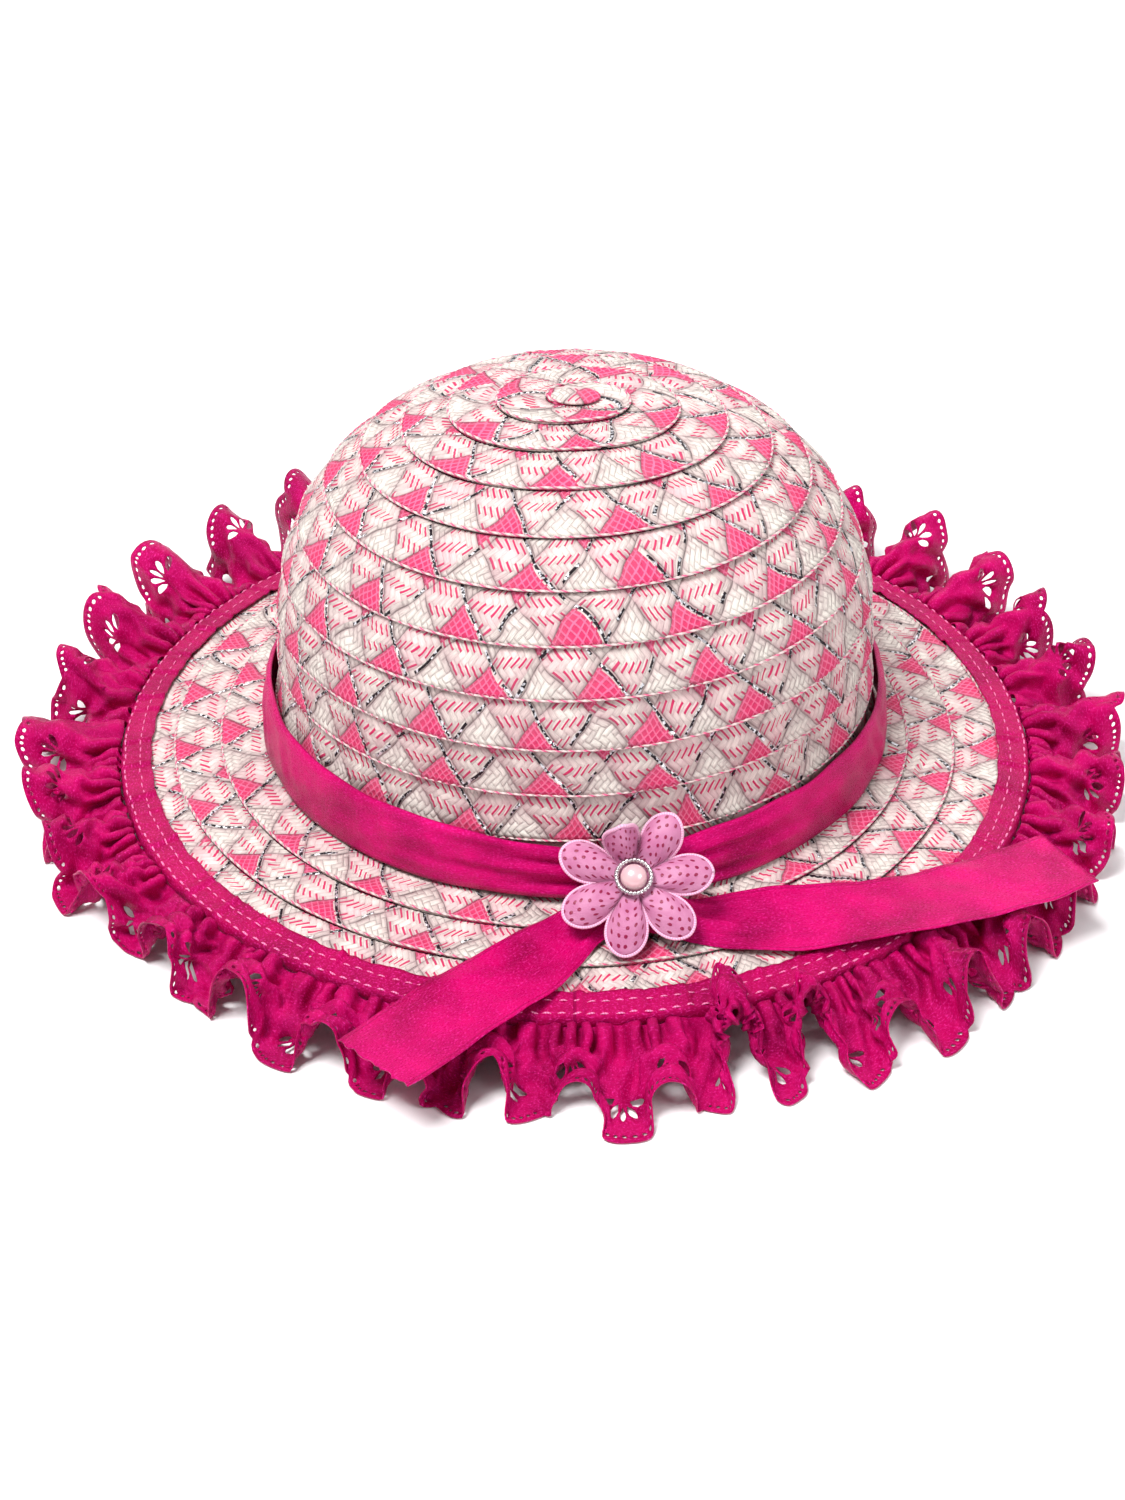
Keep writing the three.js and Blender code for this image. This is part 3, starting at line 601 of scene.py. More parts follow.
    def lobe(self, s: Shade, rows: Socket) -> Socket:
        """Height of the soft lobe that each block of strands makes."""
        part = s.math("MULTIPLY", s.math("FRACT", s.math("MULTIPLY", rows, 1 / self.block)), math.pi)
        return s.math("POWER", s.math("SINE", part), 0.45)

    def metal(self, s: Shade, rows: Socket, other: Socket, share: float) -> Socket:
        """Where the metallic thread of one direction shows.

        Args:
            s: The material.
            rows: The strand coordinate that the thread has a place in.
            other: The strand coordinate along it.
            share: How much of it shows.

        Returns:
            1 on the thread and 0 off it.
        """
        off = s.math("FLOORED_MODULO", s.math("SUBTRACT", rows, self.pink_strands), float(self.strands))
        off = s.math("ABSOLUTE", s.math("SUBTRACT", off, 0.5))
        line = s.below(off, self.glint_width, 0.06)
        dash = s.chance(s.vector(s.math("FLOOR", rows), s.math("FLOOR", s.math("MULTIPLY", other, 0.5))))
        return s.math("MULTIPLY", line, s.math("LESS_THAN", dash, 0.82 * share + 0.1))


@dataclass(frozen=True)
class TwistFinish:
    """The braid's edge cord: white paper twisted with a pink thread."""

    white: Colour = tone(214, 192, 190)
    pink: Colour = tone(212, 72, 122)
    lay: float = 3.4

    def make(self, name: str) -> bpy.types.Material:
        """Builds the twist."""
        s = Shade(name)
        u, v = s.map()
        turn = s.math("ADD", s.math("MULTIPLY", u, 1 / self.lay), v)
        wave = s.math("SINE", s.math("MULTIPLY", turn, 2 * math.pi))
        share = s.math("ADD", s.math("MULTIPLY", wave, 1.4), -0.35, clamp=True)
        s.set(Base_Color=s.mix(share, self.white, self.pink), Roughness=0.6)
        s.bump(s.math("ABSOLUTE", wave), 0.25)
        return s.material


@dataclass(frozen=True)
class SatinFinish:
    """Hot pink satin with a fine crosswise grain, painted glints and painted cloudy shade; on the tape,
    painted shade lines at its tucks.
    """

    colour: Colour = tone(200, 0, 96)
    # Dark tone for the painted cloudy shade and the painted tuck shade lines, and for the real selvedge line.
    shade_and_selvedge: Colour = tone(122, 0, 46)
    # Light pink for the painted glints, also used as the real specular tint.
    glow: Colour = tone(244, 60, 170)
    roughness: float = 0.28
    selvedge: float = 0.0
    # Spacing of the painted shade lines at the tape's tucks; 0 for none.
    tuck_shade_pitch: float = 0.0

    def make(self, name: str) -> bpy.types.Material:
        """Builds the satin.

        Args:
            name: The material's name.

        Returns:
            The material.
        """
        s = Shade(name)
        u, v = s.map()
        cloudy = s.noise(s.vector(u, v), 0.05, 3.0)
        threads = s.noise(s.vector(s.math("MULTIPLY", u, 0.35), s.math("MULTIPLY", v, 5.0)), 1.6, 2.0)
        grain = s.noise(s.vector(u, s.math("MULTIPLY", v, 1.5)), 1.5, 3.0)
        # Painted shade: broad cloudy patches darken towards the dark tone, standing in for the shade of the
        # satin's folds.
        cloudy_shade = s.math("MULTIPLY", s.math("SUBTRACT", cloudy, 0.42), 2.6, clamp=True)
        colour = s.mix(cloudy_shade, self.colour, self.shade_and_selvedge)
        # Painted highlight: bright specks of the grain mixed towards the glow colour are painted glints.
        glints = s.math("MULTIPLY", s.math("SUBTRACT", grain, 0.54), 7.0, clamp=True)
        colour = s.mix(s.math("MULTIPLY", glints, 0.55), colour, self.glow)
        if self.selvedge > 0:
            edge = s.math("ABSOLUTE", s.math("SUBTRACT", s.math("ABSOLUTE", v), self.selvedge))
            line = s.below(edge, 0.35, 0.3)
            colour = s.mix(s.math("MULTIPLY", line, 0.5), colour, self.shade_and_selvedge)
        # Painted shade: thin darker lines across the tape, at about the tucks' spacing, stand in for the
        # shade in its creases.
        if self.tuck_shade_pitch > 0:
            place = s.math("ADD", s.math("MULTIPLY", u, 1 / self.tuck_shade_pitch), s.math("MULTIPLY", cloudy, 2.0))
            fold = s.math("ABSOLUTE", s.math("SUBTRACT", s.math("FRACT", place), 0.5))
            colour = s.mix(s.math("MULTIPLY", s.below(fold, 0.02, 0.07), 0.75), colour, self.shade_and_selvedge)
        s.set(Base_Color=colour, Specular_IOR_Level=0.85, Specular_Tint=self.glow)
        s.set(Roughness=s.pick(grain, self.roughness - 0.1, self.roughness + 0.14))
        height = s.math("ADD", s.math("MULTIPLY", threads, 0.6), s.math("MULTIPLY", grain, 0.5))
        s.bump(height, 0.34, 1.0)
        return s.material


@dataclass(frozen=True)
class ThreadFinish:
    """Sewing thread, pale pink, with painted shade between the plies of its twist."""

    colour: Colour = tone(243, 132, 182)
    # Deeper pink of the painted shade between the plies.
    dark: Colour = tone(214, 70, 140)

    def make(self, name: str) -> bpy.types.Material:
        """Builds the thread."""
        s = Shade(name)
        u, v = s.map()
        # Painted shade: the thread darkens towards the dark tone in the grooves between its twist's plies.
        turn = s.math("ADD", s.math("MULTIPLY", u, 1.6), v)
        wave = s.math("ABSOLUTE", s.math("SINE", s.math("MULTIPLY", turn, math.pi)))
        s.set(Base_Color=s.mix(wave, self.dark, self.colour), Roughness=0.45, Sheen_Weight=0.2)
        s.bump(wave, 0.1)
        return s.material


@dataclass(frozen=True)
class PetalFinish:
    """Lilac-pink cloth printed with small crimson dots, with painted sheen in broad lighter patches."""

    colour: Colour = tone(184, 104, 146)
    # Lighter tone for the painted sheen patches, also the real sheen tint.
    pale: Colour = tone(210, 146, 180)
    dot: Colour = tone(136, 4, 62)
    dot_pitch: float = 2.3
    dot_radius: float = 0.23

    def make(self, name: str) -> bpy.types.Material:
        """Builds the printed cloth."""
        s = Shade(name)
        u, v = s.map()
        place = s.vector(u, v)
        # Painted sheen: broad patches lighten towards the pale tone.
        sheen = s.noise(place, 0.16, 2.0)
        weave = s.noise(place, 3.4, 1.0)
        share = s.math("MULTIPLY", s.math("SUBTRACT", sheen, 0.35), 2.0, clamp=True)
        colour = s.mix(share, self.colour, self.pale)
        dot = s.below(s.dots(place, 1 / self.dot_pitch, 0.3), self.dot_radius, 0.05)
        s.set(Base_Color=s.mix(dot, colour, self.dot), Roughness=s.pick(dot, 0.5, 0.28))
        s.set(Sheen_Weight=0.35, Sheen_Roughness=0.35, Sheen_Tint=self.pale)
        s.bump(s.math("ADD", weave, s.math("MULTIPLY", dot, 0.6)), 0.14)
        return s.material


@dataclass(frozen=True)
class PearlFinish:
    """Pearlescent bead, greyish pink."""

    colour: Colour = tone(222, 196, 196)
    rose: Colour = tone(232, 172, 184)

    def make(self, name: str) -> bpy.types.Material:
        """Builds the pearl."""
        s = Shade(name)
        cloudy = s.noise(s.place(), 420.0, 2.0)
        s.set(Base_Color=s.mix(cloudy, self.colour, self.rose), Roughness=0.26, Coat_Weight=0.7)
        s.set(Coat_Roughness=0.08, Metallic=0.15, Specular_IOR_Level=0.6)
        s.bump(cloudy, 0.02)
        return s.material


@dataclass(frozen=True)
class SilverFinish:
    """Bright silver, a little worn in its grooves."""

    bright: Colour = tone(226, 222, 224)
    worn: Colour = tone(150, 138, 142)

    def make(self, name: str) -> bpy.types.Material:
        """Builds the silver."""
        s = Shade(name)
        wear = s.noise(s.place(), 900.0, 2.0)
        s.set(Base_Color=s.mix(wear, self.bright, self.worn), Metallic=1.0)
        s.set(Roughness=s.pick(wear, 0.16, 0.4))
        s.bump(wear, 0.03)
        return s.material


class Finish(Enum):
    """Each finish on the hat, with what makes it."""

    STRAW = "plaited_straw"
    TWIST = "edge_twist"
    RIBBON = "satin_ribbon"
    TAPE = "satin_tape"
    FRILL = "satin_frill"
    THREAD = "sewing_thread"
    PETAL = "dotted_cloth"
    PIPING = "pale_piping"
    PEARL = "pearl_lustre"
    SILVER = "silver_wire"


class Finishes:
    """Makes each material once."""

    def __init__(self) -> None:
        """Pairs each finish with its maker."""
        self.makers = {
            Finish.STRAW: StrawFinish(),
            Finish.TWIST: TwistFinish(),
            Finish.RIBBON: SatinFinish(selvedge=SELVEDGE),
            # The tape's satin, with painted shade lines at its tucks.
            Finish.TAPE: SatinFinish(colour=tone(168, 0, 72), roughness=0.36, tuck_shade_pitch=11.0),
            Finish.FRILL: SatinFinish(colour=tone(180, 0, 82), roughness=0.32),
            Finish.THREAD: ThreadFinish(),
            Finish.PETAL: PetalFinish(),
            # The piping uses the same thread finish, with its painted shade between plies, in paler tones.
            Finish.PIPING: ThreadFinish(colour=tone(242, 186, 214), dark=tone(224, 150, 190)),
            Finish.PEARL: PearlFinish(),
            Finish.SILVER: SilverFinish(),
        }
        self.made: dict = {}

    def wear(self, target: bpy.types.Object, finish: Finish) -> None:
        """Dresses an object in a finish."""
        if finish not in self.made:
            self.made[finish] = self.makers[finish].make(finish.value)
        target.data.materials.clear()
        target.data.materials.append(self.made[finish])


@dataclass
class Braid:
    """The plaited braid, sewn in one spiral over the brim and the crown."""

    place: Place
    finishes: Finishes
    form: StrawForm = field(default_factory=StrawForm)
    row_pitch: float = 13.07
    first_edge: float = 2.13
    strand_pitch: float = 1.99
    slant: float = 0.775
    lap: float = 1.05
    proud: float = 0.3
    tuck: float = 1.25
    edge_wall: float = 1.0
    wall: float = 2.0
    raised: float = 0.14
    sunk: float = 0.1
    cord_radius: float = 0.34
    cord_step: float = 1.2
    cord_sides: int = 6
    inner_step: float = 4.0
    inner_rows: int = 4

    def along(self, turns: np.ndarray, line: Line) -> np.ndarray:
        """Length of braid at each turn of the spiral."""
        arc = np.clip(self.first_edge + self.row_pitch * (turns + 0.5), line.low, line.high)
        radius = np.maximum(np.interp(arc, line.arc, line.radius), 3.0)
        return np.r_[0, np.cumsum(2 * np.pi * (radius[1:] + radius[:-1]) / 2 * np.diff(turns))]

    def strip(self, line: Line, step: float, heights: np.ndarray) -> Tuple[np.ndarray, ...]:
        """Lays out the braid along one stretch of the outline.

        Args:
            line: The stretch.
            step: Distance between columns.
            heights: Heights over the braid's lower edge.

        Returns:
            Column numbers, turns, arc lengths and azimuths, the last three as columns by heights.
        """
        start = (line.low - self.first_edge) / self.row_pitch - 1.1
        end = (line.high - self.first_edge) / self.row_pitch + 0.02
        turns = np.linspace(start, end, 6000)
        length = self.along(turns, line)
        columns = np.arange(0, int(length[-1] / step))
        turn = np.interp(columns * step, length, turns)
        arc = (self.first_edge + self.row_pitch * turn)[:, None] + heights[None]
        azimuth = np.broadcast_to((2 * np.pi * turn)[:, None], arc.shape)
        return columns, turn, arc, azimuth

    def outer(self, mesh: Mesh, line: Line) -> None:
        """Adds the outer face, with its relief and the step at each row's edge."""
        step = self.strand_pitch / 2
        rise = self.strand_pitch / (2 * self.slant)
        count = int((self.row_pitch + self.lap) / rise) + 1
        heights = np.r_[0.0, np.arange(count) * rise]
        columns, _, arc, azimuth = self.strip(line, step, heights)
        lift = self.proud - self.tuck * np.minimum(heights / self.row_pitch, 1.0)
        lift = np.broadcast_to(lift, arc.shape).copy()
        odd = (columns[:, None] + np.arange(-1, count)[None]) % 2 == 1
        lift += np.where(odd, self.raised, -self.sunk)
        lift[:, 0] = self.proud - self.edge_wall
        lift += 0.12 * ripple(columns[:, None] * step / 31.0 + heights[None] * 0.05, 5)
        self.add(mesh, line, columns * step, arc, azimuth, lift, np.r_[-0.5, heights[1:]], False)

    def inner(self, mesh: Mesh, line: Line) -> None:
        """Adds the plainer face on the other side of the wall."""
        heights = np.linspace(0.0, self.row_pitch, self.inner_rows)
        columns, _, arc, azimuth = self.strip(line, self.inner_step, heights)
        lift = -self.wall - 0.5 * (1 - heights / self.row_pitch)
        lift = np.broadcast_to(lift, arc.shape)
        self.add(mesh, line, columns * self.inner_step, arc, azimuth, lift, heights, True)

    def add(
        self,
        mesh: Mesh,
        line: Line,
        length: np.ndarray,
        arc: np.ndarray,
        azimuth: np.ndarray,
        lift: np.ndarray,
        heights: np.ndarray,
        flip: bool,
    ) -> None:
        """Puts a laid-out strip into a mesh.

        Args:
            mesh: Where it goes.
            line: The stretch of the outline that it covers.
            length: Length along the braid for each column.
            arc: Arc lengths of its points.
            azimuth: Azimuths of its points.
            lift: Heights over the surface.
            heights: Heights over the braid's lower edge, for the pattern.
            flip: Whether it looks inwards.
        """
        points = self.place.world(line.points(arc, azimuth, lift))
        u = np.broadcast_to((length / self.strand_pitch)[:, None], arc.shape)
        v = np.broadcast_to((heights * self.slant / self.strand_pitch)[None], arc.shape)
        most = np.maximum.reduce([arc[:-1, :-1], arc[1:, :-1], arc[1:, 1:], arc[:-1, 1:]])
        least = np.minimum.reduce([arc[:-1, :-1], arc[1:, :-1], arc[1:, 1:], arc[:-1, 1:]])
        mesh.grid(points, np.stack([u, v], -1), keep=(most > line.low) & (least < line.high), flip=flip)

    def rim(self, mesh: Mesh, line: Line, arc: float, flip: bool) -> None:
        """Closes the wall between its outer and inner face."""
        azimuth = np.broadcast_to(np.linspace(0, 2 * np.pi, 161)[:, None], (161, 2))
        lift = np.broadcast_to(np.array([-0.2, -self.wall - 0.5])[None], (161, 2))
        points = self.place.world(line.points(np.full((161, 2), arc), azimuth, lift))
        marks = np.stack([azimuth * 40, lift], -1)
        mesh.grid(points, marks, flip=flip)

    def cord(self, name: str, line: Line) -> bpy.types.Object:
        """Makes the twisted cord along the edge of each row."""
        start = (line.low - self.first_edge) / self.row_pitch
        end = (line.high - self.first_edge) / self.row_pitch - 0.06
        turns = np.linspace(start, end, 6000)
        length = self.along(turns, line)
        turn = np.interp(np.arange(0, length[-1], self.cord_step), length, turns)
        arc = self.first_edge + self.row_pitch * turn
        lift = self.proud - self.cord_radius * 0.3 + 0.1 * ripple(turn * 16, 9)
        path = self.place.world(line.points(arc, 2 * np.pi * turn, lift))
        mesh = Mesh()
        tube(mesh, path, self.cord_radius, self.cord_sides)
        made = mesh.build(name)
        self.finishes.wear(made, Finish.TWIST)
        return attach(made, "root")

    def button(self, line: Line) -> bpy.types.Object:
        """Makes the little knot of braid at the crown's centre, where the spiral starts."""
        bpy.ops.object.select_all(action="DESELECT")
        top = Vector(self.place.world(np.array([0.0, 0.0, self.form.crown_height + 0.1])))
        bpy.ops.mesh.primitive_uv_sphere_add(segments=28, ring_count=14, radius=5.2 * MM, location=top)
        knot = bpy.context.active_object
        knot.name = knot.data.name = "crown_button"
        knot.scale = (1.25, 0.9, 0.22)
        bpy.ops.object.transform_apply(location=True, rotation=True, scale=True)
        bpy.ops.object.shade_smooth()
        layer = knot.data.uv_layers[0]
        layer.name = "weave"
        for loop in knot.data.loops:
            place = knot.data.vertices[loop.vertex_index].co - top
            layer.data[loop.index].uv = (place.x / MM / 2.0, place.y / MM / 2.6)
        self.finishes.wear(knot, Finish.STRAW)
        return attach(knot, "root")

    def build(self) -> None:
        """Makes the crown and the brim."""
        crown_line = Line(self.form, self.form.crown_line())
        brim_line = Line(self.form, self.form.brim_line())
        for name, node, line, rim_arc, flip in (
            ("crown_braid", "crown", crown_line, crown_line.low, False),
            ("brim_braid", "brim", brim_line, brim_line.high, True),
        ):
            mesh = Mesh()
            self.outer(mesh, line)
            self.inner(mesh, line)
            self.rim(mesh, line, rim_arc, flip)
            made = mesh.build(name)
            self.finishes.wear(made, Finish.STRAW)
            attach(made, "root")
            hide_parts(node)
            cord = self.cord(node + "_edge_cord", line)
            LOG.info("%s: %d faces, cord %d", name, len(made.data.polygons), len(cord.data.polygons))
        button = self.button(crown_line)


@dataclass(frozen=True)
class Bow:
    """Where the flower holds the ribbon together."""

    offset: float = 14.3
    out: float = 91.5
    rise: float = 15.0
    tilt: float = 52.0

    @property
    def azimuth(self) -> float:
        """Azimuth of the flower in radians."""
        return math.atan2(self.offset, self.out)

    def back(self, y: np.ndarray) -> np.ndarray:
        """Height of the flower's back plane."""
        return self.rise + (y + self.out) / math.tan(math.radians(self.tilt))


@dataclass
class Band:
    """Satin ribbon round the foot of the crown, drawn together behind the flower."""

    place: Place
    finishes: Finishes
    form: StrawForm
    bow: Bow
    height: float = 17.0
    stand_off: float = 2.2
    pinch_top: float = 4.5
    pinch_foot: float = 1.6
    pinch_out: float = 1.1
    pinch_angle: float = 17.0
    crease_angle: float = 30.0
    belly: float = 0.44
    wall: float = 0.4
    steps: int = 560
    rows: int = 16

    def build(self) -> bpy.types.Object:
        """Makes the band."""
        azimuth = np.linspace(0, 2 * np.pi, self.steps, endpoint=False)[:, None] + self.bow.azimuth
        up = np.linspace(0, 1, self.rows)[None]
        turn = np.degrees(np.arctan2(np.sin(azimuth - self.bow.azimuth), np.cos(azimuth - self.bow.azimuth)))
        pinch = np.exp(-((turn / self.pinch_angle) ** 2))
        near = np.exp(-((turn / self.crease_angle) ** 2))
        level = self.form.brim_fall + self.form.crease_gap
        foot = level + self.pinch_foot * pinch
        top = level + self.height - self.pinch_top * pinch
        foot_radius = self.form.foot_radius + self.stand_off + self.pinch_out * pinch - 0.4
        top_radius = self.form.crown_at(np.array(foot)) + 0.9
        radius = blend(foot_radius, top_radius, up) + self.belly * np.sin(np.pi * up)
        radius = radius - 1.1 * np.clip((up - 0.86) / 0.14, 0, 1) ** 2 * (1 - 0.7 * near)
        folds = np.sin(2 * np.pi * (2.6 * up + 0.012 * turn) + 0.7) * near
        folds = folds + 0.5 * np.sin(2 * np.pi * (4.6 * up - 0.02 * turn) + 2.1) * near
        radius = radius + 0.75 * folds * np.clip(np.abs(turn) / 7.0, 0.25, 1)
        radius = radius + 0.28 * ripple(azimuth * 7 + up * 0.9, 21) * (1 - near) * np.sin(np.pi * up)
        radius = radius + 0.18 * ripple(azimuth * 2.3 - up * 1.7, 22)
        z = blend(foot, top, up) + 0.25 * ripple(azimuth * 3.1, 23) * up
        points = np.stack([radius * np.sin(azimuth), -radius * np.cos(azimuth), z + 0 * radius], -1)
        along = (azimuth - self.bow.azimuth) * self.form.foot_radius
        marks = np.stack(np.broadcast_arrays(along, (up - 0.5) * 2 * SELVEDGE), -1)
        mesh = Mesh()
        mesh.grid(self.place.world(points), marks, closed=True)
        made = mesh.build("band_ribbon")
        thicken(made, self.wall)
        self.finishes.wear(made, Finish.RIBBON)
        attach(made, "root")
        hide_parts("hatband")
        return made


@dataclass
class Tail:
    """One loose end of the ribbon, from under the flower over the brim, the binding and the frill."""

    name: str
    side: int
    length: float
    heading: float
    bend: float
    sweep: float
    end_drop: float
    form: StrawForm
    bow: Bow
    width: float = 24.5
    pinched: float = 11.0
    fan: float = 42.0
    bend_length: float = 20.0
    start_radius: float = 93.7
    binding_width: float = 8.8
    binding_outer: float = 126.7
    gap: float = 0.3
    tape: float = 1.0
    lift: float = 1.2
    frill_reach: float = 29.0
    knot_edge: float = 0.35

    def route(self, count: int) -> Tuple[np.ndarray, ...]:
        """The centre line from above: x, y, heading and length along it."""
        along = np.linspace(0, self.length, count)
        heading = self.heading + self.bend * ease(along / self.bend_length)
        heading = np.radians(heading + self.sweep * along / self.length)
        step = self.length / (count - 1)
        x = self.bow.offset + self.side * 0.15 + np.r_[0, np.cumsum(np.cos(heading[:-1]))] * step
        y = -self.start_radius + np.r_[0, np.cumsum(np.sin(heading[:-1]))] * step
        return x, y, heading, along

    def width_at(self, along: np.ndarray) -> np.ndarray:
        """The ribbon's spread at a length."""
        return blend(self.pinched, self.width, ease(along / self.fan))

    def level(self, x: np.ndarray, y: np.ndarray) -> np.ndarray:
        """Height of its underside over what it lies on."""
        radius = np.hypot(x, y)
        edge = self.form.edge_radius
        over = self.gap + self.tape + self.gap
        inner = self.form.brim_top(radius) + self.gap
        share = (radius - edge + self.binding_width) / self.binding_width
        climb = blend(self.form.brim_top(edge - self.binding_width) + self.gap, over + self.gap, ease(share))
        out = np.clip((radius - edge) / (self.binding_outer - edge), 0, 1)
        beyond = np.maximum(0, radius - self.binding_outer - self.gap) / self.frill_reach
        outer = over + self.gap + self.lift * out - self.end_drop * beyond
        return np.where(radius < edge - self.binding_width, inner, np.where(radius < edge, climb, outer))

    def build(self, place: Place, finishes: Finishes) -> bpy.types.Object:
        """Makes the tail.

        Args:
            place: Where the hat stands.
            finishes: The materials.

        Returns:
            The ribbon's end.
        """
        count, rows = 110, 25
        x, y, heading, along = (a[:, None] for a in self.route(count))
        across = np.linspace(-0.5, 0.5, rows)[None]
        width = self.width_at(along)
        side = across * width
        ragged = 0.35 * ripple(across * 21, 31 + self.side) * np.clip((along - self.length + 2) / 2, 0, 1)
        px = x - side * np.sin(heading) + ragged * np.cos(heading)
        py = y + side * np.cos(heading) + ragged * np.sin(heading)
        level = self.level(px, py)
        gather = 1 - ease(along / self.bend_length)
        crown = np.cos(np.pi * across)
        knot = np.maximum(1.0, self.bow.back(py) - self.gap - level)
        top = blend(0.75, knot - 0.4, gather * blend(self.knot_edge, 1.0, crown))
        pleat = np.exp(-((along / 34.0) ** 2))
        folds = np.cos(2 * np.pi * 3.0 * across + 0.6)
        folds = folds + 0.6 * np.cos(2 * np.pi * 5.0 * across + along * 0.02 + 1.7)
        top = top + 0.62 * pleat * folds + 0.3 * ripple(along / 24 + across * 1.2, 40 + self.side)
        top = np.maximum(top, 0.45)
        curl = 1.4 * np.clip((along - self.length + 16) / 16, 0, 1) ** 2
        z = level + top + curl * (0.35 + 1.2 * across * self.side * -1)
        points = place.world(np.stack([px, py, z], -1))
        marks = np.stack(np.broadcast_arrays(along, across * self.width), -1)
        mesh = Mesh()
        mesh.grid(points, marks)
        made = mesh.build(self.name + "_ribbon")
        thicken(made, 0.35)
        finishes.wear(made, Finish.RIBBON)
        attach(made, "root")
        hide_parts(self.name)
        return made


@dataclass
class EdgeTape:
    """Satin tape folded over the straw's raw edge and sewn down with two rows of stitches."""

    place: Place
    finishes: Finishes
    form: StrawForm
    width: float = 8.8
    outer: float = 126.7
    gap: float = 0.3
    straw_wall: float = 2.8
    wall: float = 0.4
    steps: int = 900
    tucks: int = 62
    tuck_height: float = 0.85
    tuck_width: float = 0.0065
    tuck_drift: float = 0.036
    bend: float = 1.3
    lift: float = 0.5
    seam_radius: float = 125.3
    seam_thread: float = 0.27
    hem_radius: float = 121.2
    hem_thread: float = 0.2
    stitch_low: float = 0.32
    stitch_rise: float = 0.22
    stitch: float = 2.3
    stitch_pitch: float = 3.5

    def top(self, radius: np.ndarray) -> np.ndarray:
        """Height of the middle of the tape's upper side."""
        return self.form.brim_top(radius) + self.gap + self.lift

    def section(self) -> Tuple[np.ndarray, np.ndarray, np.ndarray]:
        """Radius, height and share of being on top along the folded section."""
        inner = self.outer - self.width
        over = np.linspace(inner, self.outer - self.bend, 9)
        turn = np.linspace(0, np.pi, 7)[1:-1]
        middle = self.top(self.outer - self.bend) - 2.0
        half = self.top(self.outer - self.bend) - middle
        round_r = self.outer - self.bend + 0.9 * np.sin(turn)
        round_z = middle + half * np.cos(turn)
        under = np.linspace(self.outer - self.bend, inner, 5)
        under_z = self.form.brim_top(under) - self.straw_wall - self.gap - self.lift
        radius = np.r_[over, round_r, under]
        height = np.r_[self.top(over), round_z, under_z]
        upper = np.r_[np.ones(len(over)), np.linspace(1, 0, len(turn)), np.zeros(len(under))]
        return radius, height, upper

    def tuck_at(self, azimuth: np.ndarray) -> np.ndarray:
        """Height of the small creases that the tape is eased in with."""
        rng = np.random.default_rng(7)
        total = np.zeros_like(azimuth)
        base = np.arange(self.tucks) * 2 * np.pi / self.tucks
        places = base + rng.uniform(-self.tuck_drift, self.tuck_drift, self.tucks)
        sizes = rng.uniform(0.25, 1, self.tucks)
        for centre, size in zip(places, sizes):
            turn = np.arctan2(np.sin(azimuth - centre), np.cos(azimuth - centre))
            total += size * np.exp(-((turn / self.tuck_width) ** 2))
            total -= 0.55 * size * np.exp(-(((turn - 0.013) / 0.007) ** 2))
        return total

    def build(self) -> bpy.types.Object:
        """Makes the tape and its stitches."""
        azimuth = np.linspace(0, 2 * np.pi, self.steps, endpoint=False)[:, None]
        radius, height, upper = (a[None] for a in self.section())
        tuck = self.tuck_at(azimuth) * self.tuck_height
        z = height + tuck * upper + 0.12 * ripple(azimuth * 24 + radius * 0.1, 51) * upper
        r = radius + 0 * azimuth + 0.25 * ripple(azimuth * 9, 52) * (radius < self.outer - 7)
        points = np.stack([r * np.sin(azimuth), -r * np.cos(azimuth), z], -1)
        run = np.r_[0, np.cumsum(np.hypot(np.diff(radius[0]), np.diff(height[0])))]
        marks = np.stack(np.broadcast_arrays(azimuth * self.outer, run[None]), -1)
        mesh = Mesh()
        mesh.grid(self.place.world(points), marks, closed=True, flip=True)
        made = mesh.build("edge_tape")
        thicken(made, self.wall)
        self.finishes.wear(made, Finish.TAPE)
        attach(made, "root")
        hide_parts("binding")
        stitches = [
            self.stitches("seam_stitches", self.seam_radius, self.seam_thread),
            self.stitches("hem_stitches", self.hem_radius, self.hem_thread),
        ]
        return made

    def stitches(self, name: str, radius: float, thread: float) -> bpy.types.Object:
        """Makes one row of stitches.

        Args:
            name: The row's name.
            radius: How far out it runs.
            thread: Half the thread's thickness.

        Returns:
            The row.
        """
        count = int(2 * math.pi * radius / self.stitch_pitch)
        rng = np.random.default_rng(int(radius))
        mesh = Mesh()
        for i in range(count):
            middle = (i + rng.uniform(-0.08, 0.08)) * 2 * np.pi / count
            half = self.stitch / radius / 2
            azimuth = middle + np.linspace(-half, half, 6)
            r = radius + rng.uniform(-0.25, 0.25) + 0 * azimuth
            rise = self.stitch_low + self.stitch_rise * np.sin(np.linspace(0, np.pi, 6))
            rise = rise + self.tuck_at(azimuth) * self.tuck_height * 0.7
            points = np.stack([r * np.sin(azimuth), -r * np.cos(azimuth), self.top(r) + rise - 0.2], -1)
            tube(mesh, self.place.world(points), thread, 5, taper=True)
        made = mesh.build(name)
        self.finishes.wear(made, Finish.THREAD)
        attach(made, "root")
        return made


class Fold(NamedTuple):
    """One fold of the frill: its trough, and the crest after it."""

    at: float
    low: float
    high: float
    out: float
    over: float


